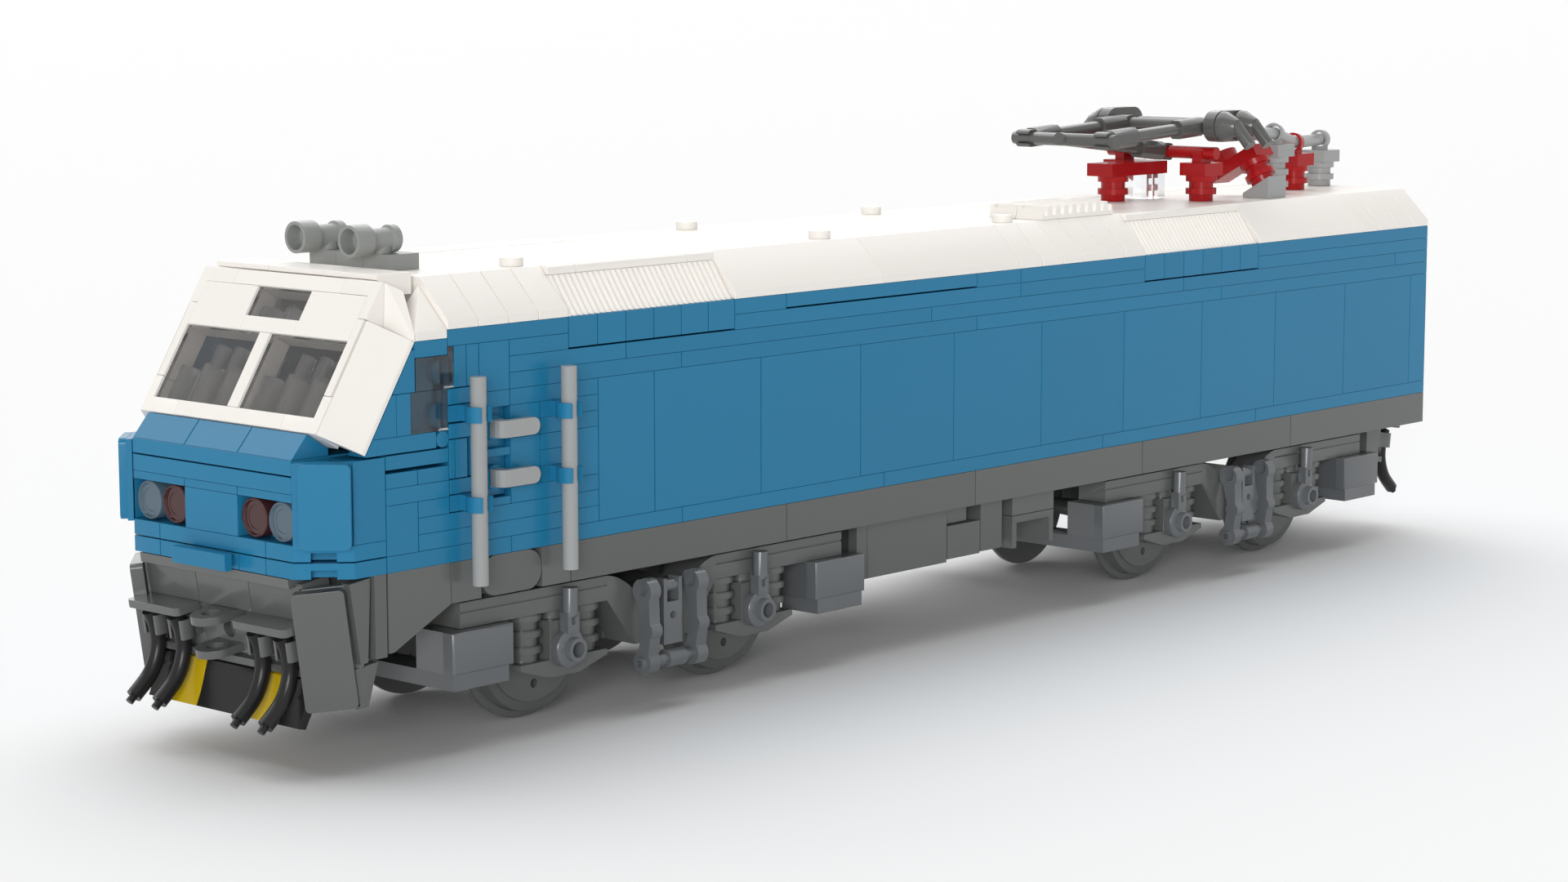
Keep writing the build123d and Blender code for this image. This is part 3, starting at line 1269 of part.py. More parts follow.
def leaning_insulator():
    """Red insulator that leans inward on the wedge."""
    lean = 30.0
    up = (0, -sin(radians(lean)), cos(radians(lean)))
    foot = Vector(56.2 - HALF_LENGTH, 17.2, ROOF_Z + 3.55)
    stack = turned(round_stack(2), tuple(foot), up)
    plane = Plane(origin=foot, x_dir=(1, 0, 0), z_dir=up)
    plate = plane * block((-3.9, 3.9), (-11.9, 3.9), (2 * PLATE, 3 * PLATE))
    disc = plane * (Pos(0, -8, 3.5 * PLATE) * Cylinder(ROUND_R, PLATE))
    return [stack + plate + disc]


def arm_plane(start, end, y):
    """Plane with X along an arm, Z across the vehicle."""
    run = (end[0] - start[0], 0, end[1] - start[1])
    return Plane(origin=(start[0], y, start[1]), x_dir=run, z_dir=(0, -1, 0))


def arm_length(start, end):
    """Distance between an arm's two pivots."""
    return ((end[0] - start[0]) ** 2 + (end[1] - start[1]) ** 2) ** 0.5


HOLDER_LENGTH = 11.5
HOLDER_WIDE = 4.6
JAW_REACH = 1.95
JAW_TALL = 4.3
JAW_WIDE = 4.0
KNEE_STUB = 3.2


def clip_holder():
    """Chamfered holder along X whose jaws clip a bar about Z at the origin."""
    sleeve = Pos(HOLDER_LENGTH / 2 + 0.9, 0, 0) * Box(HOLDER_LENGTH - 1.8, HOLDER_WIDE, HOLDER_WIDE)
    sleeve = chamfer(sleeve.edges().filter_by(Axis.X), 1.2)
    jaws = block((-JAW_REACH, 2.2), (-JAW_TALL / 2, JAW_TALL / 2), (-JAW_WIDE / 2, JAW_WIDE / 2))
    jaws = fillet(jaws.edges().filter_by(Axis.Z), 1.4)
    mouth = Pos(-2.5, 0, 0) * Box(2.8, 2.3, 9)
    bore = Cylinder(BAR_R + CLIP_CLEARANCE, 9)
    return sleeve + jaws - mouth - bore


def panto_lower_arm():
    """Lower arm from the pivot bar forward to the knee bar, its end past the bar."""
    a = (PANTO_BASE_X, PANTO_BASE_Z)
    b = (PANTO_KNEE_X, PANTO_KNEE_Z)
    plane = arm_plane(a, b, 0)
    length = arm_length(a, b)
    reach = length - HOLDER_LENGTH + KNEE_STUB
    bar = Pos(HOLDER_LENGTH - 0.5 + reach / 2, 0, 0) * Rot(0, 90, 0) * Cylinder(BAR_R, reach)
    knee = Pos(length, 0, 0) * Cylinder(BAR_R, 2 * PANTO_ARM_Y + 7.2)
    return [plane * (clip_holder() + bar + knee)]


def panto_upper_arm():
    """Two arms from the knee bar back to the head bar."""
    a = (PANTO_KNEE_X, PANTO_KNEE_Z)
    b = (PANTO_HEAD_X, PANTO_HEAD_Z)
    length = arm_length(a, b)
    bar = Pos(length / 2, 0, 0) * Rot(0, 90, 0) * Cylinder(BAR_R, length - 2 * HOLDER_LENGTH + 1)
    arm = clip_holder() + bar + Pos(length, 0, 0) * Rot(0, 0, 180) * clip_holder()
    return [arm_plane(a, b, side * PANTO_ARM_Y) * arm for side in (-1, 1)]


HEAD_PLATE = (14.9, 18.1)
HEAD_SECOND = 8.0
HEAD_CONE = [(0, 0), (3.5, 0), (3.5, 0.4), (3.8, 0.4), (3.8, 1.3), (1.9, 4.9), (0, 4.9)]


def panto_head():
    """Head: two cross bars, oval end plates and down-turned horns."""
    x = PANTO_HEAD_X
    z = PANTO_HEAD_Z
    head = rod((x, -HEAD_PLATE[1], z), (x, HEAD_PLATE[1], z), BAR_R)
    head += rod((x - HEAD_SECOND, -HEAD_PLATE[1], z), (x - HEAD_SECOND, HEAD_PLATE[1], z), BAR_R)
    for side in (-1, 1):
        for dx in (0, -HEAD_SECOND):
            head += rod((x + dx, side * HEAD_PLATE[0], z), (x + dx, side * HEAD_PLATE[1], z), 3.9)
            head += turned(HEAD_CONE, (x + dx, side * (HEAD_PLATE[1] - 0.05), z), (0, side, 0))
            elbow = (x + dx, side * (HEAD_PLATE[1] + 4.2), z + 0.4)
            tip = (x + dx, side * (HEAD_PLATE[1] + 8.6), z - 4.6)
            head += rod(elbow, tip, BAR_R)
        ys = sorted((side * HEAD_PLATE[0], side * HEAD_PLATE[1]))
        head += block((x - HEAD_SECOND, x), ys, (z - 3.9, z + 3.9))
    return [head]


def build_all():
    """Every node's shapes by name."""
    nodes = {
        "floor_plate": floor_plate(),
        "sill_tiles": sill_tiles(),
        "lower_wall_plates": lower_row(),
        "wall_panels": wall_panels(),
        "upper_wall_plates": upper_rows(),
        "rear_wall": rear_wall(),
        "roof_slopes": roof_slopes(),
        "ribbed_slopes": ribbed_slopes(),
        "roof_deck": roof_deck(),
        "roof_studs": roof_studs(),
        "roof_grille": roof_grille(),
        "horns": horns(),
        "nose_lower": nose_lower(),
        "nose_lamp_course": nose_lamp_course(),
        "marker_lamps_red": lamps("red"),
        "headlamps_clear": lamps("clear"),
        "nose_upper": nose_upper(),
        "nose_slopes": nose_slopes(),
        "nose_corner_panels": nose_corner_panels(),
        "nose_bar": nose_bar(),
        "windscreen_frame": windscreen_frame(),
        "windscreen_glass": windscreen_glass(),
        "windscreen_cheeks": cheeks(),
        "cab_side_blocks": cab_side_blocks() + pane_studs(),
        "cab_side_glass": cab_side_glass(),
        "cab_corner_slopes": cab_corner_slopes(),
        "cab_roof": cab_roof(),
        "cab_doors": door_blocks(),
        "door_levers": door_levers(),
        "handrails": handrails(),
        "handrail_clips": handrail_clips(),
        "aprons": apron("front") + apron("rear"),
        "step_plates": step_plates("front") + step_plates("rear"),
        "coupler_lugs": coupler_lugs("front") + coupler_lugs("rear"),
        "brake_hoses": brake_hoses("front") + brake_hoses("rear"),
        "hose_clips": hose_clips("front") + hose_clips("rear"),
        "plough": plough(PLOUGH_BLACK),
        "plough_stripes": plough(PLOUGH_YELLOW),
        "corner_skirts": corner_skirts(),
        "side_skirts": side_skirts(),
        "underframe_boxes": underframe_boxes() + centre_keel(),
        "panto_base": panto_base(),
        "beam_insulator": beam_insulator(),
        "clear_block": clear_block(),
        "grey_posts": post_insulators([0, 2]),
        "red_post": post_insulators([1]),
        "bus_bar": bus_bar(),
        "wedge_block": wedge_block(),
        "leaning_insulator": leaning_insulator(),
        "panto_lower_arm": panto_lower_arm(),
        "panto_upper_arm": panto_upper_arm(),
        "panto_head": panto_head(),
    }
    return nodes


def bogie_nodes():
    """The nodes of both bogies and their four wheelsets."""
    nodes = {}
    for name, x in PIVOTS.items():
        nodes[name + "_bogie_frame"] = bogie_frame(x) + bogie_springs(x)
        nodes[name + "_bogie_fittings"] = axle_hubs(x) + sandboxes(x) + end_beams(x) + link_gear(x)
        nodes[name + "_bogie_lead_wheelset"] = wheelset(x + WHEELBASE / 2)
        nodes[name + "_bogie_trail_wheelset"] = wheelset(x - WHEELBASE / 2)
    return nodes


def main():
    """Write one STEP file for each node."""
    os.makedirs("parts", exist_ok=True)
    nodes = build_all()
    nodes.update(bogie_nodes())
    for name, shapes in nodes.items():
        solids = [solid for shape in shapes for solid in shape.solids()]
        export_step(Compound(children=solids), f"parts/{name}.step")


main()
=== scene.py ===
"""Looks of a brick-built toy electric locomotive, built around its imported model."""

from __future__ import annotations

import json
import logging
import math
from dataclasses import dataclass, field
from enum import Enum

import bmesh
import bpy
from mathutils import Matrix, Vector

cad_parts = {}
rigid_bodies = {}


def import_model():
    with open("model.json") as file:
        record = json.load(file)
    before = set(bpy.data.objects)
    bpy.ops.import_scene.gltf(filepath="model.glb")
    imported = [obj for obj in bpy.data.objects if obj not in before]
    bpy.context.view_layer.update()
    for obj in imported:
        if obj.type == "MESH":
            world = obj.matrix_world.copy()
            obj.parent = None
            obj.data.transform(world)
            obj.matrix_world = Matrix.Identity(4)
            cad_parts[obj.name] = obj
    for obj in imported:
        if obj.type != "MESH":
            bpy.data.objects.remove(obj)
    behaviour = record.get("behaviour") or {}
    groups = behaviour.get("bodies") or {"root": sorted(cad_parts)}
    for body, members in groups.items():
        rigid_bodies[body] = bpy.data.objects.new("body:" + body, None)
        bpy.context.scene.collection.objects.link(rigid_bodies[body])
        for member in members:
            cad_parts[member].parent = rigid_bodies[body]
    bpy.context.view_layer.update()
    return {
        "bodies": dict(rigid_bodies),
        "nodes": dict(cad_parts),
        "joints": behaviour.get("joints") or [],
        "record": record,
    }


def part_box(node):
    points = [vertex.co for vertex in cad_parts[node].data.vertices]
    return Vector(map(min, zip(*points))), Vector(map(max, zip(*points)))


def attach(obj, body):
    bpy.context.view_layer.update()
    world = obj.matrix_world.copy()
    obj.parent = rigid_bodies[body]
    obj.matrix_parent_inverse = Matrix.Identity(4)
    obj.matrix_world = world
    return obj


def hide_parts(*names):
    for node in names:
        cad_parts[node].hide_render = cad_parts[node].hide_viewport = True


LOG = logging.getLogger("locomotive")
MM = 0.001
STUD = 8.0 * MM
PLATE = 3.2 * MM
STUD_RADIUS = 2.4 * MM
STUD_HEIGHT = 1.7 * MM

# Two nodes hold several sockets of one name, so these are found by number
MIX_COLOUR_A, MIX_COLOUR_B, MIX_COLOUR_OUT = 6, 7, 2
COMPARE_WHOLE_A, COMPARE_WHOLE_B = 2, 3


# Finishes


def new_material(name: str) -> tuple[bpy.types.Material, bpy.types.Node]:
    """Starts a material.

    Args:
        name: Its name.

    Returns:
        The material and its surface shader.
    """
    made = bpy.data.materials.new(name)
    made.use_nodes = True
    return made, made.node_tree.nodes["Principled BSDF"]


@dataclass(frozen=True)
class MouldedPlastic:
    """Opaque glossy plastic, a little different in tone from brick to brick."""

    name: str
    slot: str
    colour: tuple[float, float, float]
    roughness: float = 0.22
    tone: float = 0.03
    ripple: float = 0.02
    ripple_scale: float = 90.0
    ripple_depth: float = 0.4 * MM
    ior: float = 1.5
    gloss: float = 0.22

    def material(self) -> bpy.types.Material:
        """Makes the material once and returns it afterwards.

        Returns:
            The material of this plastic.
        """
        known = bpy.data.materials.get(self.name)
        if known:
            return known
        made, shader = new_material(self.name)
        shader.inputs["Roughness"].default_value = self.roughness
        shader.inputs["IOR"].default_value = self.ior
        shader.inputs["Specular IOR Level"].default_value = self.gloss
        self.brick_tones(made, shader)
        self.moulded_ripple(made, shader)
        return made

    def brick_tones(self, made: bpy.types.Material, shader: bpy.types.Node) -> None:
        """Gives each loose solid of a piece its own slightly paler or darker tone.

        Args:
            made: The material.
            shader: Its surface shader.
        """
        nodes, links = made.node_tree.nodes, made.node_tree.links
        solid = nodes.new("ShaderNodeNewGeometry")
        tones = nodes.new("ShaderNodeMix")
        tones.data_type = "RGBA"
        darker = [c * (1 - self.tone) for c in self.colour]
        paler = [min(1, c * (1 + self.tone)) for c in self.colour]
        tones.inputs[MIX_COLOUR_A].default_value = (*darker, 1)
        tones.inputs[MIX_COLOUR_B].default_value = (*paler, 1)
        links.new(solid.outputs["Random Per Island"], tones.inputs["Factor"])
        links.new(tones.outputs[MIX_COLOUR_OUT], shader.inputs["Base Color"])

    def moulded_ripple(self, made: bpy.types.Material, shader: bpy.types.Node) -> None:
        """Bends the reflections as on a moulded face that isn't perfectly flat.

        Args:
            made: The material.
            shader: Its surface shader.
        """
        nodes, links = made.node_tree.nodes, made.node_tree.links
        place = nodes.new("ShaderNodeTexCoord")
        noise = nodes.new("ShaderNodeTexNoise")
        noise.inputs["Scale"].default_value = self.ripple_scale
        noise.inputs["Detail"].default_value = 1.0
        bump = nodes.new("ShaderNodeBump")
        bump.inputs["Strength"].default_value = self.ripple
        bump.inputs["Distance"].default_value = self.ripple_depth
        links.new(place.outputs["Object"], noise.inputs["Vector"])
        links.new(noise.outputs["Fac"], bump.inputs["Height"])
        links.new(bump.outputs["Normal"], shader.inputs["Normal"])


@dataclass(frozen=True)
class ClearPlastic:
    """Transparent plastic, clear, smoky or red."""

    name: str
    slot: str
    colour: tuple[float, float, float]
    roughness: float = 0.03
    ior: float = 1.45
    clearness: float = 1.0

    def material(self) -> bpy.types.Material:
        """Makes the material once and returns it afterwards.

        Returns:
            The material of this plastic.
        """
        known = bpy.data.materials.get(self.name)
        if known:
            return known
        made, shader = new_material(self.name)
        shader.inputs["Base Color"].default_value = (*self.colour, 1)
        shader.inputs["Roughness"].default_value = self.roughness
        shader.inputs["IOR"].default_value = self.ior
        shader.inputs["Transmission Weight"].default_value = self.clearness
        return made


class Finish(Enum):
    """Every plastic on the model, and one darker copy of the dark grey that is painted shade."""

    BLUE = MouldedPlastic("blue plastic", "blue", (0.018, 0.198, 0.370))
    WHITE = MouldedPlastic("white plastic", "white", (0.94, 0.905, 0.855), roughness=0.3, tone=0.015)
    DARK_GREY = MouldedPlastic("dark grey plastic", "dark_grey", (0.12, 0.126, 0.122), tone=0.07, gloss=0.4)
    COOL_GREY = MouldedPlastic("cool grey plastic", "dark_grey", (0.130, 0.139, 0.147), tone=0.07, gloss=0.5)
    # Painted shade: the pantograph arms are the same dark grey plastic, made darker to stand for the shade
    # that falls on them
    SHADED_ARM_GREY = MouldedPlastic("dark grey plastic with painted shade for the arms", "dark_grey", (0.092, 0.093, 0.090), tone=0.05, gloss=0.5)
    MID_GREY = MouldedPlastic("mid grey plastic", "mid_grey", (0.30, 0.31, 0.30), roughness=0.3)
    LIGHT_GREY = MouldedPlastic("light grey plastic", "light_grey", (0.36, 0.37, 0.37))
    RED = MouldedPlastic("red plastic", "red", (0.40, 0.010, 0.012))
    BLACK = MouldedPlastic("black plastic", "black", (0.018, 0.018, 0.019), roughness=0.25)
    YELLOW = MouldedPlastic("yellow plastic", "yellow", (0.62, 0.43, 0.01))
    SMOKE = ClearPlastic("smoky clear plastic", "smoke_clear", (0.6, 0.59, 0.58))
    TUBE = ClearPlastic("cloudy tube plastic", "smoke_clear", (0.72, 0.72, 0.72), roughness=0.04,
                        clearness=0.7)
    CLEAR = ClearPlastic("clear plastic", "clear", (0.93, 0.95, 0.96))
    LENS = ClearPlastic("lens plastic", "clear", (0.17, 0.26, 0.33), roughness=0.12, clearness=0.5)
    CLEAR_RED = ClearPlastic("clear red plastic", "clear_red", (0.12, 0.035, 0.037), roughness=0.12,
                             clearness=0.5)


# Meshes


def add(mesh: bpy.types.Mesh, name: str) -> bpy.types.Object:
    """Links a mesh to the scene.

    Args:
        mesh: The mesh.
        name: The name of its object.

    Returns:
        The new object.
    """
    made = bpy.data.objects.new(name, mesh)
    bpy.context.scene.collection.objects.link(made)
    return made


def plain_mesh(source: bpy.types.Object, name: str) -> bpy.types.Object:
    """Turns an object with modifiers into one with a plain mesh.

    Args:
        source: The object, which is removed.
        name: The name of the new object.

    Returns:
        The object that holds the finished mesh.
    """
    bpy.context.view_layer.update()
    graph = bpy.context.evaluated_depsgraph_get()
    made = add(bpy.data.meshes.new_from_object(source.evaluated_get(graph)), name)
    bpy.data.objects.remove(source)
    return made


def smooth(target: bpy.types.Object, degrees: float = 20.0) -> None:
    """Shades an object smooth up to an angle between faces."""
    target.data.shade_smooth()
    target.data.set_sharp_from_angle(angle=math.radians(degrees))


def islands(work: bmesh.types.BMesh) -> list[list[bmesh.types.BMVert]]:
    """Groups the vertices of a mesh by connected solid.

    Args:
        work: The mesh, with its doubles merged.

    Returns:
        The vertices of each solid, the solids in the order of their first ones.
    """
    seen = set()
    found = []
    for start in work.verts:
        if start in seen:
            continue
        seen.add(start)
        island = [start]
        # The list grows while it is walked
        for vert in island:
            for edge in vert.link_edges:
                other = edge.other_vert(vert)
                if other not in seen:
                    seen.add(other)
                    island.append(other)
        found.append(island)
    return found


def span(island: list[bmesh.types.BMVert]) -> tuple[Vector, Vector]:
    """Finds the box round some vertices.

    Args:
        island: The vertices.

    Returns:
        The low and the high corner of the box.
    """
    low = Vector([min(v.co[i] for v in island) for i in range(3)])
    high = Vector([max(v.co[i] for v in island) for i in range(3)])
    return low, high


def solid_boxes(mesh: bpy.types.Mesh, turn: Matrix | None = None) -> list[tuple[Vector, Vector]]:
    """Finds the box round each connected solid of a mesh.

    Args:
        mesh: The mesh, with its doubles merged.
        turn: The turn given to the solids before they are measured, if any.

    Returns:
        The low and the high corner of each box.
    """
    work = bmesh.new()
    work.from_mesh(mesh)
    if turn:
        work.transform(turn)
    boxes = [span(island) for island in islands(work)]
    work.free()
    return boxes


def joined(name: str, *parts: bpy.types.Object) -> bpy.types.Object:
    """Joins plain objects into one.

    Args:
        name: The name of the new object.
        parts: The objects, which are removed.

    Returns:
        The new object.
    """
    work = bmesh.new()
    for part in parts:
        work.from_mesh(part.data)
        bpy.data.objects.remove(part)
    mesh = bpy.data.meshes.new(name)
    work.to_mesh(mesh)
    work.free()
    return add(mesh, name)


@dataclass
class Workshop:
    """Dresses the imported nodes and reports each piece."""

    frame: dict
    edge: float = 0.1 * MM
    edge_steps: int = 2
    edge_angle: float = 40.0
    weld: float = 0.001 * MM
    flat_angle: float = 0.6

    def body_of(self, node: str) -> str:
        """Name of the CAD body that a node belongs to."""
        bodies = self.frame["record"]["behaviour"]["bodies"]
        return next(name for name, members in bodies.items() if node in members)

    def welded(self, node: str) -> bpy.types.Mesh:
        """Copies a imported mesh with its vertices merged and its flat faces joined.

        Args:
            node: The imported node.

        Returns:
            The clean copy.
        """
        mesh = self.frame["nodes"][node].data.copy()
        work = bmesh.new()
        work.from_mesh(mesh)
        bmesh.ops.remove_doubles(work, verts=work.verts, dist=self.weld)
        bmesh.ops.dissolve_limit(work, angle_limit=math.radians(self.flat_angle), verts=work.verts,
                                 edges=work.edges)
        work.to_mesh(mesh)
        work.free()
        return mesh

    def bevelled(self, piece: bpy.types.Object, radius: float) -> bpy.types.Object:
        """Softens the edges of a piece.

        Args:
            piece: The piece, which is used up if it is bevelled.
            radius: The radius of its moulded edges, in metres, or 0 for none.

        Returns:
            The piece with a plain mesh.
        """
        if not radius:
            return piece
        bevel = piece.modifiers.new("edges", "BEVEL")
        bevel.width = radius
        bevel.segments = self.edge_steps
        bevel.limit_method = "ANGLE"
        bevel.angle_limit = math.radians(self.edge_angle)
        bevel.harden_normals = False
        return plain_mesh(piece, piece.name)

    def mount(self, piece: bpy.types.Object, body: str, finish: Finish, *nodes: str) -> None:
        """Paints a finished piece and lets it ride on a body.

        Args:
            piece: The piece, in place in the row frame.
            body: The body it rides on.
            finish: Its plastic.
            nodes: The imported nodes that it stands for.
        """
        piece.data.materials.clear()
        piece.data.materials.append(finish.value.material())
        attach(piece, body)
        if nodes:
            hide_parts(*nodes)
        LOG.info("%s rides on %s, %d faces", piece.name, body, len(piece.data.polygons))

    def soften(self, finish: Finish, *nodes: str, edge: float | None = None) -> None:
        """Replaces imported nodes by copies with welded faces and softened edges.

        Args:
            finish: Their plastic.
            nodes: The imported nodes.
            edge: The radius of their moulded edges, in metres, if not the usual one.
        """
        for node in nodes:
            piece = add(self.welded(node), f"{node}_plain")
            piece = self.bevelled(piece, self.edge if edge is None else edge)
            piece.name = f"{node}_moulded"
            smooth(piece)
            self.mount(piece, self.body_of(node), finish, node)


# Geometry node trees


class Tree:
    """A Geometry Nodes tree with named inputs, made once."""

    def __init__(self, name: str) -> None:
        """Starts an empty tree.

        Args:
            name: Its name.
        """
        self.group = bpy.data.node_groups.new(name, "GeometryNodeTree")
        self.group.interface.new_socket("Geometry", in_out="INPUT", socket_type="NodeSocketGeometry")
        self.group.interface.new_socket("Geometry", in_out="OUTPUT", socket_type="NodeSocketGeometry")
        self.inlet = self.group.nodes.new("NodeGroupInput")
        self.outlet = self.group.nodes.new("NodeGroupOutput")

    def size(self, name: str, value: float) -> bpy.types.NodeSocket:
        """Adds a named size.

        Args:
            name: Its name.
            value: Its usual value, in metres.

        Returns:
            Its output in the tree.
        """
        socket = self.group.interface.new_socket(name, in_out="INPUT", socket_type="NodeSocketFloat")
        socket.default_value = value
        return self.inlet.outputs[name]

    def count(self, name: str, value: int) -> bpy.types.NodeSocket:
        """Adds a named whole number.

        Args:
            name: Its name.
            value: Its usual value.

        Returns:
            Its output in the tree.
        """
        socket = self.group.interface.new_socket(name, in_out="INPUT", socket_type="NodeSocketInt")
        socket.default_value = value
        return self.inlet.outputs[name]

    def plastic(self) -> bpy.types.NodeSocket:
        """Adds the material input and returns its output in the tree."""
        self.group.interface.new_socket("Plastic", in_out="INPUT", socket_type="NodeSocketMaterial")
        return self.inlet.outputs["Plastic"]

    def feed(self, target: bpy.types.NodeSocket, value: object) -> None:
        """Fills a socket.

        Args:
            target: The socket.
            value: An output to link to it, or its own value.
        """
        if isinstance(value, bpy.types.NodeSocket):
            self.group.links.new(value, target)
        else:
            target.default_value = value

    def node(self, kind: str, **sockets: object) -> bpy.types.Node:
        """Adds a node and fills its sockets.

        Args:
            kind: The node's type.
            sockets: A value or another node's output for each socket, with
                spaces in its name written as underscores.

        Returns:
            The node.
        """
        made = self.group.nodes.new(kind)
        for name, value in sockets.items():
            self.feed(made.inputs[name.replace("_", " ")], value)
        return made

    def maths(self, how: str, a: object, b: object) -> bpy.types.NodeSocket:
        """Adds a Math node.

        Args:
            how: Its operation.
            a: Its first number or output.
            b: Its second number or output.

        Returns:
            Its result.
        """
        made = self.group.nodes.new("ShaderNodeMath")
        made.operation = how
        self.feed(made.inputs[0], a)
        self.feed(made.inputs[1], b)
        return made.outputs[0]

    def half(self, value: bpy.types.NodeSocket) -> bpy.types.NodeSocket:
        """Halves a size."""
        return self.maths("MULTIPLY", value, 0.5)

    def double(self, value: bpy.types.NodeSocket) -> bpy.types.NodeSocket:
        """Doubles a size."""
        return self.maths("MULTIPLY", value, 2.0)

    def upward(self, height: object) -> bpy.types.NodeSocket:
        """Makes a vector straight up of a height."""
        return self.node("ShaderNodeCombineXYZ", X=0.0, Y=0.0, Z=height).outputs[0]

    def cylinder(self, sides: int, radius: object, depth: object) -> bpy.types.NodeSocket:
        """Adds an upright cylinder round the origin and returns its geometry."""
        made = self.node("GeometryNodeMeshCylinder", Vertices=sides, Radius=radius, Depth=depth)
        return made.outputs[0]

    def lifted(self, geometry: bpy.types.NodeSocket, height: object) -> bpy.types.NodeSocket:
        """Moves geometry straight up by a height."""
        shift = self.upward(height)
        return self.node("GeometryNodeTransform", Geometry=geometry, Translation=shift).outputs[0]

    def together(self, *parts: bpy.types.NodeSocket) -> bpy.types.NodeSocket:
        """Joins geometry.

        Args:
            parts: The outputs to join.

        Returns:
            The joined geometry.
        """
        made = self.group.nodes.new("GeometryNodeJoinGeometry")
        for part in parts:
            self.group.links.new(part, made.inputs[0])
        return made.outputs[0]

    def on_points(self, points: bpy.types.NodeSocket, instance: bpy.types.NodeSocket,
                  **sockets: object) -> bpy.types.NodeSocket:
        """Sets one shape on every point and returns the instances."""
        made = self.node("GeometryNodeInstanceOnPoints", Points=points, Instance=instance, **sockets)
        return made.outputs[0]

    def finish(self, geometry: bpy.types.NodeSocket, plastic: bpy.types.NodeSocket) -> None:
        """Ends the tree in Realize Instances and Set Material.

        Args:
            geometry: The finished geometry.
            plastic: The material input.
        """
        solid = self.node("GeometryNodeRealizeInstances", Geometry=geometry)
        painted = self.node("GeometryNodeSetMaterial", Geometry=solid.outputs[0], Material=plastic)
        self.group.links.new(painted.outputs[0], self.outlet.inputs[0])

    def grow(self, seeds: list[Vector], name: str, plastic: bpy.types.Material,
             **values: float) -> bpy.types.Object:
        """Runs the tree on a set of points and keeps the result as a plain mesh.

        Args:
            seeds: The points that it starts from, in the row frame.
            name: The name of the finished piece.
            plastic: The material for the tree's last node.
            values: The tree's inputs by name, with spaces written as underscores.

        Returns:
            The finished piece.
        """
        mesh = bpy.data.meshes.new(name)
        mesh.from_pydata([tuple(p) for p in seeds], [], [])
        base = add(mesh, f"{name}_seed")
        modifier = base.modifiers.new("grow", "NODES")
        modifier.node_group = self.group
        items = self.group.interface.items_tree
        keys = {item.name: item.identifier for item in items if item.in_out == "INPUT"}
        for label, value in values.items():
            modifier[keys[label.replace("_", " ")]] = value
        modifier[keys["Plastic"]] = plastic
        base.update_tag()
        piece = plain_mesh(base, name)
        smooth(piece)
        return piece


def pile_tree(sides: int = 40) -> Tree:
    """Tree that stacks round plates, each a neck below a flange, on every point.

    Args:
        sides: The number of sides of a round plate.

    Returns:
        The tree.
    """
    tree = Tree("round plate pile")
    count = tree.count("Count", 2)
    pitch = tree.size("Pitch", PLATE)
    flange_radius = tree.size("Flange radius", 3.9 * MM)
    neck_radius = tree.size("Neck radius", 3.05 * MM)
    flange = tree.size("Flange", 1.5 * MM)
    edge = tree.size("Edge", 0.2 * MM)
    plastic = tree.plastic()
    neck_height = tree.maths("SUBTRACT", pitch, flange)
    neck = tree.lifted(tree.cylinder(sides, neck_radius, neck_height), tree.half(neck_height))
    disc = tree.cylinder(sides, flange_radius, tree.maths("SUBTRACT", flange, tree.double(edge)))
    rim = tree.cylinder(sides, tree.maths("SUBTRACT", flange_radius, edge), flange)
    disc_up = tree.maths("ADD", neck_height, tree.half(flange))
    plate = tree.together(neck, tree.lifted(tree.together(disc, rim), disc_up))
    rise = tree.node("GeometryNodeMeshLine", Count=count, Offset=tree.upward(pitch))
    stack = tree.on_points(rise.outputs[0], plate)
    tree.finish(tree.on_points(tree.inlet.outputs["Geometry"], stack), plastic)
    return tree


def hose_tree(sides: int = 24, steps: int = 28, nozzle_sides: int = 20) -> Tree:
    """Tree that sweeps a hose end along its points, with a nozzle at the tip.

    Args:
        sides: The number of sides of the hose.
        steps: The number of rings along it.
        nozzle_sides: The number of sides of the nozzle.

    Returns:
        The tree.
    """
    tree = Tree("hose ends")
    radius = tree.size("Radius", 1.6 * MM)
    nozzle = tree.size("Nozzle", 0.8 * MM)
    reach = tree.size("Reach", 1.5 * MM)
    plastic = tree.plastic()
    dots = tree.node("GeometryNodeMeshToPoints", Mesh=tree.inlet.outputs["Geometry"])
    line = tree.node("GeometryNodePointsToCurves", Points=dots.outputs[0])
    curve = tree.node("GeometryNodeCurveSplineType", Curve=line.outputs[0])
    curve.spline_type = "CATMULL_ROM"
    fine = tree.node("GeometryNodeResampleCurve", Curve=curve.outputs[0], Count=steps)
    ring = tree.node("GeometryNodeCurvePrimitiveCircle", Resolution=sides, Radius=radius)
    tube = tree.node("GeometryNodeCurveToMesh", Curve=fine.outputs[0], Profile_Curve=ring.outputs[0],
                     Fill_Caps=True)
    # Of the curve's two ends the nozzle stands on the second, number 1
    ends = tree.node("GeometryNodeCurveToPoints", Curve=curve.outputs[0], Count=2)
    ends.mode = "COUNT"
    last = tree.node("FunctionNodeCompare")
    last.data_type = "INT"
    last.operation = "EQUAL"
    tree.feed(last.inputs[COMPARE_WHOLE_A], tree.node("GeometryNodeInputIndex").outputs[0])
    tree.feed(last.inputs[COMPARE_WHOLE_B], 1)
    tip = tree.cylinder(nozzle_sides, nozzle, tree.double(reach))
    placed = tree.on_points(ends.outputs[0], tip, Selection=last.outputs[0],
                            Rotation=ends.outputs["Rotation"])
    tree.finish(tree.together(tube.outputs[0], placed), plastic)
    return tree


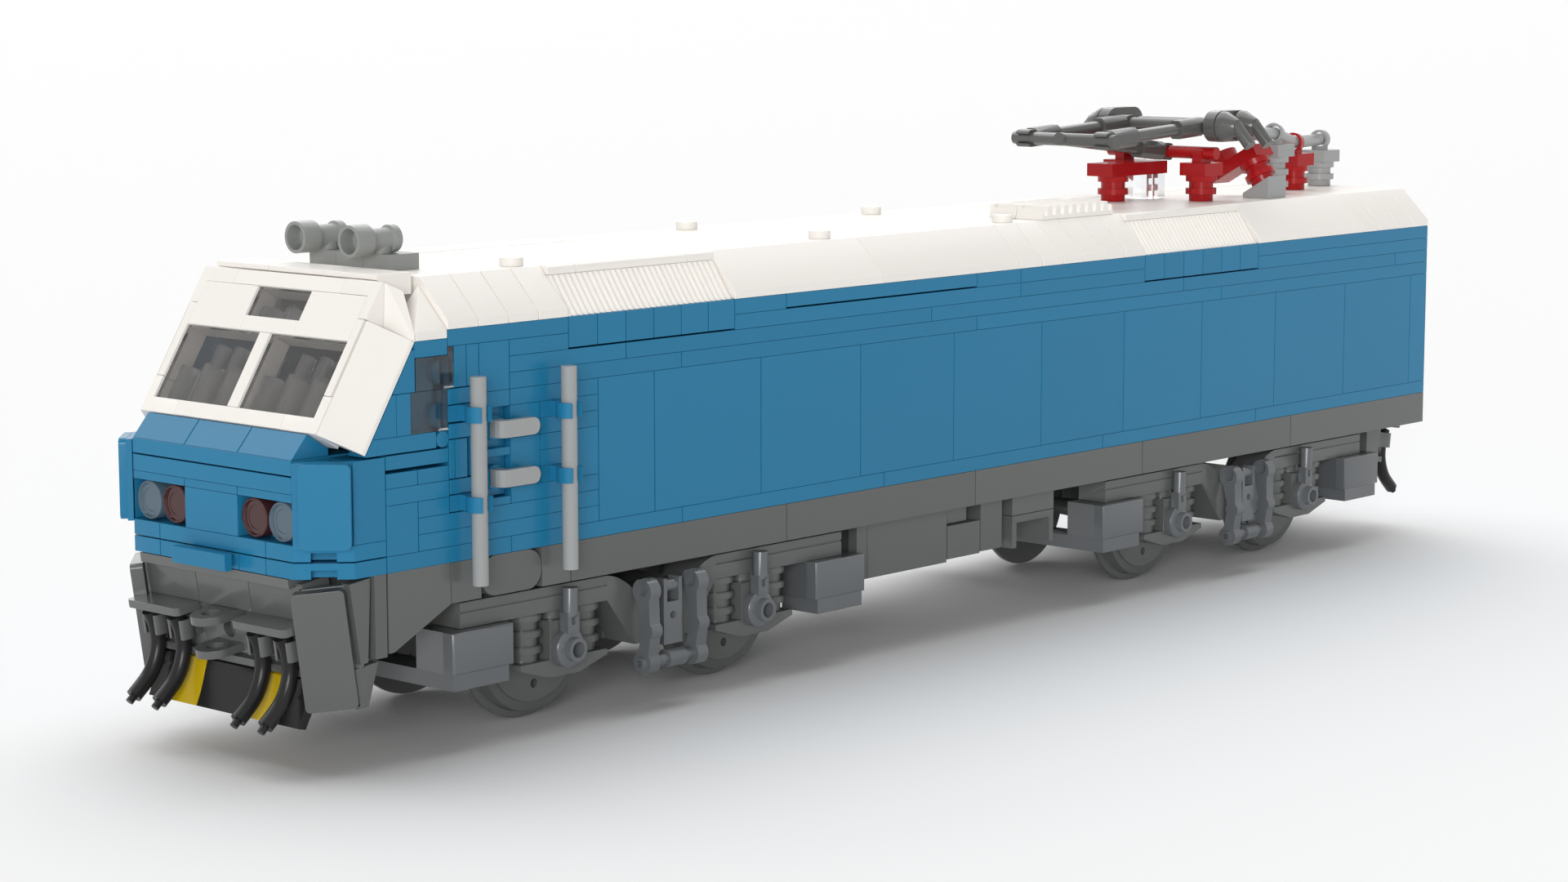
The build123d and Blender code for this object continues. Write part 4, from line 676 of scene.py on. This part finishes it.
def stud_tree(sides: int = 32) -> Tree:
    """Tree that stands a round stud or tube on every point.

    Args:
        sides: The number of its sides.

    Returns:
        The tree.
    """
    tree = Tree("studs")
    radius = tree.size("Radius", STUD_RADIUS)
    height = tree.size("Height", STUD_HEIGHT)
    plastic = tree.plastic()
    stud = tree.lifted(tree.cylinder(sides, radius, height), tree.half(height))
    tree.finish(tree.on_points(tree.inlet.outputs["Geometry"], stud), plastic)
    return tree


# Sub-assemblies


@dataclass
class BodyShell:
    """Walls, floor, doors and roof of the body."""

    shop: Workshop
    studs: Tree = field(repr=False)
    blue_nodes: tuple[str, ...] = ("lower_wall_plates", "wall_panels", "upper_wall_plates", "rear_wall",
                                   "cab_doors", "handrail_clips")
    white_nodes: tuple[str, ...] = ("roof_slopes", "ribbed_slopes", "roof_deck", "roof_grille", "cab_roof",
                                    "cab_corner_slopes")
    grey_nodes: tuple[str, ...] = ("floor_plate", "sill_tiles", "side_skirts", "underframe_boxes")
    light_nodes: tuple[str, ...] = ("door_levers", "handrails")

    def build(self) -> None:
        """Dresses every node of the body."""
        self.shop.soften(Finish.BLUE, *self.blue_nodes)
        self.shop.soften(Finish.WHITE, *self.white_nodes)
        self.shop.soften(Finish.DARK_GREY, *self.grey_nodes)
        self.shop.soften(Finish.LIGHT_GREY, *self.light_nodes)
        self.shop.soften(Finish.MID_GREY, "horns")
        self.bare_studs()

    def bare_studs(self) -> None:
        """Bare studs along the roof edges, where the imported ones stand."""
        low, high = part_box("roof_studs")
        seeds = []
        for a, b in solid_boxes(self.shop.welded("roof_studs")):
            seeds.append(Vector(((a.x + b.x) / 2, (a.y + b.y) / 2, low.z)))
        piece = self.studs.grow(seeds, "roof_studs_moulded", Finish.WHITE.value.material(),
                                Radius=STUD_RADIUS, Height=high.z - low.z)
        self.shop.mount(piece, "body", Finish.WHITE, "roof_studs")


@dataclass(frozen=True)
class TubeRow:
    """A row of clear tubes behind each pane, its heights as shares of the pane's."""

    depth: float
    shift: float
    radius: float
    foot: float
    length: float


@dataclass
class Cab:
    """Nose, windscreen and cab sides."""

    shop: Workshop
    tubes: Tree = field(repr=False)
    blue_nodes: tuple[str, ...] = ("nose_lower", "nose_lamp_course", "nose_upper", "nose_slopes",
                                   "nose_corner_panels", "nose_bar", "cab_side_blocks")
    white_nodes: tuple[str, ...] = ("windscreen_frame", "windscreen_cheeks")
    rake: float = 58.0
    tube_rows: tuple[TubeRow, ...] = (TubeRow(3.0 * MM, 0.30, 2.4 * MM, 0.0, 0.50),
                                      TubeRow(7.0 * MM, 0.62, 1.6 * MM, 0.4, 0.55),
                                      TubeRow(4.6 * MM, 0.90, 2.4 * MM, 0.0, 0.60))
    tube_pitch: float = 3.4
    lens_outline: tuple[tuple[float, float], ...] = (
        (0.0, 0.0), (0.0, 0.99), (0.9, 0.99), (0.97, 0.97), (1.0, 0.92), (1.0, 0.87), (0.93, 0.84),
        (0.86, 0.8), (0.86, 0.6), (0.82, 0.58), (0.82, 0.0))
    lens_steps: int = 64

    def build(self) -> None:
        """Dresses every node of the cab."""
        self.shop.soften(Finish.BLUE, *self.blue_nodes)
        self.shop.soften(Finish.WHITE, *self.white_nodes)
        self.shop.soften(Finish.SMOKE, "cab_side_glass", edge=0)
        self.windscreen()
        self.lamps("headlamps_clear", Finish.LENS)
        self.lamps("marker_lamps_red", Finish.CLEAR_RED)

    def lamps(self, node: str, finish: Finish) -> None:
        """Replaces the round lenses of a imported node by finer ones.

        Args:
            node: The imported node.
            finish: Its plastic.
        """
        lenses = [self.lens(node, low, high) for low, high in solid_boxes(self.shop.welded(node))]
        piece = joined(f"{node}_moulded", *lenses)
        smooth(piece)
        self.shop.mount(piece, "body", finish, node)

    def lens(self, node: str, low: Vector, high: Vector) -> bpy.types.Object:
        """Turns one lens about X, with a raised rim round a shallow dish.

        Args:
            node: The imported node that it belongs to.
            low: The low corner of its box.
            high: The high corner of its box.

        Returns:
            The lens, in its place.
        """
        radius = (high.y - low.y) / 2
        deep = high.x - low.x
        work = bmesh.new()
        outline = [work.verts.new((low.x + x * deep, r * radius, 0)) for x, r in self.lens_outline]
        edges = [work.edges.new(pair) for pair in zip(outline, outline[1:])]
        bmesh.ops.spin(work, geom=outline + edges, axis=(1, 0, 0), cent=(0, 0, 0), angle=math.tau,
                       steps=self.lens_steps, use_merge=True)
        bmesh.ops.remove_doubles(work, verts=work.verts, dist=self.shop.weld)
        bmesh.ops.recalc_face_normals(work, faces=work.faces)
        mesh = bpy.data.meshes.new(f"{node}_lens")
        work.to_mesh(mesh)
        work.free()
        mesh.transform(Matrix.Translation((0, (low.y + high.y) / 2, (low.z + high.z) / 2)))
        return add(mesh, f"{node}_lens")

    def windscreen(self) -> None:
        """Panes, and the clear tubes of the bricks behind them."""
        glass = add(self.shop.welded("windscreen_glass"), "windscreen_glass_moulded")
        turn = Matrix.Rotation(math.radians(self.rake - 90.0), 4, "Y")
        panes = solid_boxes(glass.data, turn.inverted())
        rows = [self.pane_tubes(row, low, high) for row in self.tube_rows for low, high in panes]
        tubes = joined("windscreen_tubes", *rows)
        tubes.data.transform(turn)
        smooth(tubes)
        self.shop.mount(tubes, "body", Finish.TUBE)
        smooth(glass)
        self.shop.mount(glass, "body", Finish.SMOKE, "windscreen_glass")

    def pane_tubes(self, row: TubeRow, low: Vector, high: Vector) -> bpy.types.Object:
        """One row of tubes behind a pane, in the pane's own upright axes.

        Args:
            row: The row.
            low: The low corner of the pane.
            high: The high corner of the pane.

        Returns:
            The tubes.
        """
        width = high.y - low.y
        height = high.z - low.z
        count = max(2, round(width / (self.tube_pitch * row.radius)))
        seeds = []
        for step in range(count):
            y = low.y + (step + row.shift) * width / count
            seeds.append(Vector((low.x - row.depth, y, low.z + row.foot * height)))
        return self.tubes.grow(seeds, "pane_tubes", Finish.TUBE.value.material(), Radius=row.radius,
                               Height=row.length * height)


@dataclass
class Ends:
    """Aprons, couplings and hoses at both ends."""

    shop: Workshop
    hose: Tree = field(repr=False)
    grey_nodes: tuple[str, ...] = ("aprons", "step_plates", "coupler_lugs", "hose_clips", "corner_skirts")
    lean: float = 8.3
    apron_top: tuple[float, float, float] = (0.192, 0.0, 0.0362)
    hose_ys: tuple[float, ...] = (-0.020, -0.012, 0.012, 0.020)
    hose_path: tuple[tuple[float, float], ...] = ((1.3, -9.8), (0.4, -13.0), (0.6, -17.5), (3.2, -22.0),
                                                  (8.0, -25.4))
    hose_smoothing: float = 40.0

    def build(self) -> None:
        """Dresses every node below the ends."""
        self.shop.soften(Finish.DARK_GREY, *self.grey_nodes)
        self.shop.soften(Finish.BLACK, "plough")
        self.shop.soften(Finish.YELLOW, "plough_stripes")
        self.hoses()

    def hoses(self) -> None:
        """Moulded hose ends, swept along their paths in the axes of the leaning aprons."""
        lean = Matrix.Rotation(math.radians(self.lean), 4, "Y")
        lean.translation = Vector(self.apron_top)
        parts = []
        plastic = Finish.BLACK.value.material()
        for end in (0.0, math.pi):
            turn = Matrix.Rotation(end, 4, "Z")
            for y in self.hose_ys:
                points = [turn @ lean @ Vector((u * MM, y, w * MM)) for u, w in self.hose_path]
                parts.append(self.hose.grow(points, f"hose_{len(parts)}", plastic))
        piece = joined("brake_hoses_moulded", *parts)
        smooth(piece, self.hose_smoothing)
        self.shop.mount(piece, "body", Finish.BLACK, "brake_hoses")


@dataclass
class Bogie:
    """One bogie with its two wheelsets."""

    shop: Workshop
    name: str
    springs: Tree = field(repr=False)
    spring_heights: tuple[float, float] = (8.5 * MM, 11.0 * MM)
    spring_width: float = STUD + 0.2 * MM
    spring_plates: int = 3

    def build(self) -> None:
        """Dresses the frame, its fittings and the wheelsets."""
        bogie = f"{self.name}_bogie"
        self.shop.soften(Finish.COOL_GREY, f"{bogie}_fittings")
        self.shop.soften(Finish.DARK_GREY, f"{bogie}_lead_wheelset", f"{bogie}_trail_wheelset")
        self.sprung_frame(bogie)

    def is_spring(self, size: Vector) -> bool:
        """Tells a spring pile from the rest of the frame by its box."""
        low, high = self.spring_heights
        return low < size.z < high and size.x < self.spring_width and size.y < self.spring_width

    def sprung_frame(self, bogie: str) -> None:
        """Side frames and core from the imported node, with springs grown on their seats.

        Args:
            bogie: The body of this bogie.
        """
        node = f"{bogie}_frame"
        mesh = self.shop.welded(node)
        seats = []
        height = 0.0
        work = bmesh.new()
        work.from_mesh(mesh)
        for island in islands(work):
            low, high = span(island)
            if self.is_spring(high - low):
                seats.append(Vector(((low.x + high.x) / 2, (low.y + high.y) / 2, low.z)))
                height = high.z - low.z
                bmesh.ops.delete(work, geom=island, context="VERTS")
        work.to_mesh(mesh)
        work.free()
        sides = self.shop.bevelled(add(mesh, f"{node}_plain"), self.shop.edge)
        piles = self.springs.grow(seats, f"{node}_springs", Finish.DARK_GREY.value.material(),
                                  Count=self.spring_plates, Pitch=height / self.spring_plates)
        piece = joined(f"{node}_moulded", sides, piles)
        smooth(piece)
        self.shop.mount(piece, bogie, Finish.DARK_GREY, node)


@dataclass
class RoofGear:
    """Pantograph, insulators and conductor."""

    shop: Workshop
    red_nodes: tuple[str, ...] = ("panto_base", "beam_insulator", "red_post", "leaning_insulator")
    light_nodes: tuple[str, ...] = ("grey_posts", "bus_bar", "wedge_block")
    arm_nodes: tuple[str, ...] = ("panto_lower_arm", "panto_upper_arm", "panto_head")

    def build(self) -> None:
        """Dresses every node on the roof."""
        self.shop.soften(Finish.RED, *self.red_nodes)
        self.shop.soften(Finish.LIGHT_GREY, *self.light_nodes)
        # Painted shade: the arms take the darker copy of the dark grey plastic
        self.shop.soften(Finish.SHADED_ARM_GREY, *self.arm_nodes)
        self.shop.soften(Finish.CLEAR, "clear_block", edge=0)


@dataclass(frozen=True)
class SoftSun:
    """A wide lamp from far away, aimed at the middle of the model."""

    name: str
    place: tuple[float, float, float]
    power: float
    width: float
    aim: tuple[float, float, float] = (0.0, 0.0, 0.05)

    def stand(self) -> None:
        """Adds the lamp to the scene."""
        data = bpy.data.lights.new(self.name, "SUN")
        data.energy = self.power
        data.angle = math.radians(self.width)
        lamp = bpy.data.objects.new(self.name, data)
        bpy.context.scene.collection.objects.link(lamp)
        place = Vector(self.place)
        turn = (Vector(self.aim) - place).to_track_quat("-Z", "Y").to_matrix().to_4x4()
        lamp.matrix_world = Matrix.Translation(place) @ turn


@dataclass
class Studio:
    """Floor, lights and the camera at the photo's angle."""

    camera_at: tuple[float, float, float] = (0.582574, 0.499065, 0.149111)
    right: tuple[float, float, float] = (-0.66980, 0.74254, -0.00061)
    down: tuple[float, float, float] = (0.10372, 0.09275, -0.99027)
    lens: float = 76.38
    sensor: float = 36.0
    nearest: float = 0.01
    farthest: float = 20.0
    key: SoftSun = SoftSun("key", (-0.35, -0.5, 1.0), power=2.6, width=84.0)
    fill: SoftSun = SoftSun("front fill", (1.25, 1.0, 0.34), power=1.6, width=24.0)
    sky: float = 0.2
    floor_size: float = 80.0
    floor_drop: float = 0.2 * MM
    floor_tone: float = 0.95
    floor_roughness: float = 0.8
    floor_gloss: float = 0.1

    def build(self) -> None:
        """Sets up the whole studio."""
        self.camera()
        self.floor()
        self.key.stand()
        self.fill.stand()
        self.surround()
        bpy.context.scene.view_settings.view_transform = "Standard"

    def camera(self) -> None:
        """Camera fitted to the photo."""
        data = bpy.data.cameras.new("camera")
        data.lens = self.lens
        data.sensor_width = self.sensor
        data.clip_end = self.farthest
        data.clip_start = self.nearest
        made = bpy.data.objects.new("camera", data)
        bpy.context.scene.collection.objects.link(made)
        right = Vector(self.right).normalized()
        back = right.cross(-Vector(self.down)).normalized()
        up = back.cross(right)
        turn = Matrix((right, up, back)).transposed().to_4x4()
        made.matrix_world = Matrix.Translation(Vector(self.camera_at)) @ turn
        bpy.context.scene.camera = made

    def floor(self) -> None:
        """Plain pale floor, a hair below the wheels."""
        bpy.ops.mesh.primitive_plane_add(size=self.floor_size, location=(0, 0, -self.floor_drop))
        ground = bpy.context.object
        ground.name = "floor"
        paper, shader = new_material("pale floor")
        shader.inputs["Base Color"].default_value = (self.floor_tone, self.floor_tone, self.floor_tone, 1)
        shader.inputs["Roughness"].default_value = self.floor_roughness
        shader.inputs["Specular IOR Level"].default_value = self.floor_gloss
        ground.data.materials.append(paper)

    def surround(self) -> None:
        """Dim light from all round, white where the camera, a gloss or a clear piece sees it."""
        world = bpy.context.scene.world or bpy.data.worlds.new("surround")
        bpy.context.scene.world = world
        world.use_nodes = True
        nodes, links = world.node_tree.nodes, world.node_tree.links
        sky = nodes["Background"]
        sky.inputs["Color"].default_value = (1, 1, 1, 1)
        sky.inputs["Strength"].default_value = self.sky
        plain = nodes.new("ShaderNodeBackground")
        plain.inputs["Color"].default_value = (1, 1, 1, 1)
        plain.inputs["Strength"].default_value = 1.0
        path = nodes.new("ShaderNodeLightPath")
        seen = path.outputs["Is Camera Ray"]
        for ray in ("Is Glossy Ray", "Is Transmission Ray"):
            either = nodes.new("ShaderNodeMath")
            either.operation = "MAXIMUM"
            links.new(seen, either.inputs[0])
            links.new(path.outputs[ray], either.inputs[1])
            seen = either.outputs[0]
        mix = nodes.new("ShaderNodeMixShader")
        links.new(seen, mix.inputs[0])
        links.new(sky.outputs[0], mix.inputs[1])
        links.new(plain.outputs[0], mix.inputs[2])
        links.new(mix.outputs[0], nodes["World Output"].inputs["Surface"])


def main(frame: dict) -> None:
    """Builds every sub-assembly in order.
    """
    shop = Workshop(frame)
    studs = stud_tree()
    BodyShell(shop, studs).build()
    Cab(shop, studs).build()
    Ends(shop, hose_tree()).build()
    springs = pile_tree()
    for name in ("front", "rear"):
        Bogie(shop, name, springs).build()
    RoofGear(shop).build()
    Studio().build()


if __name__ == "__main__":
    logging.basicConfig(level=logging.INFO, format="%(message)s")
    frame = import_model()
    main(frame)
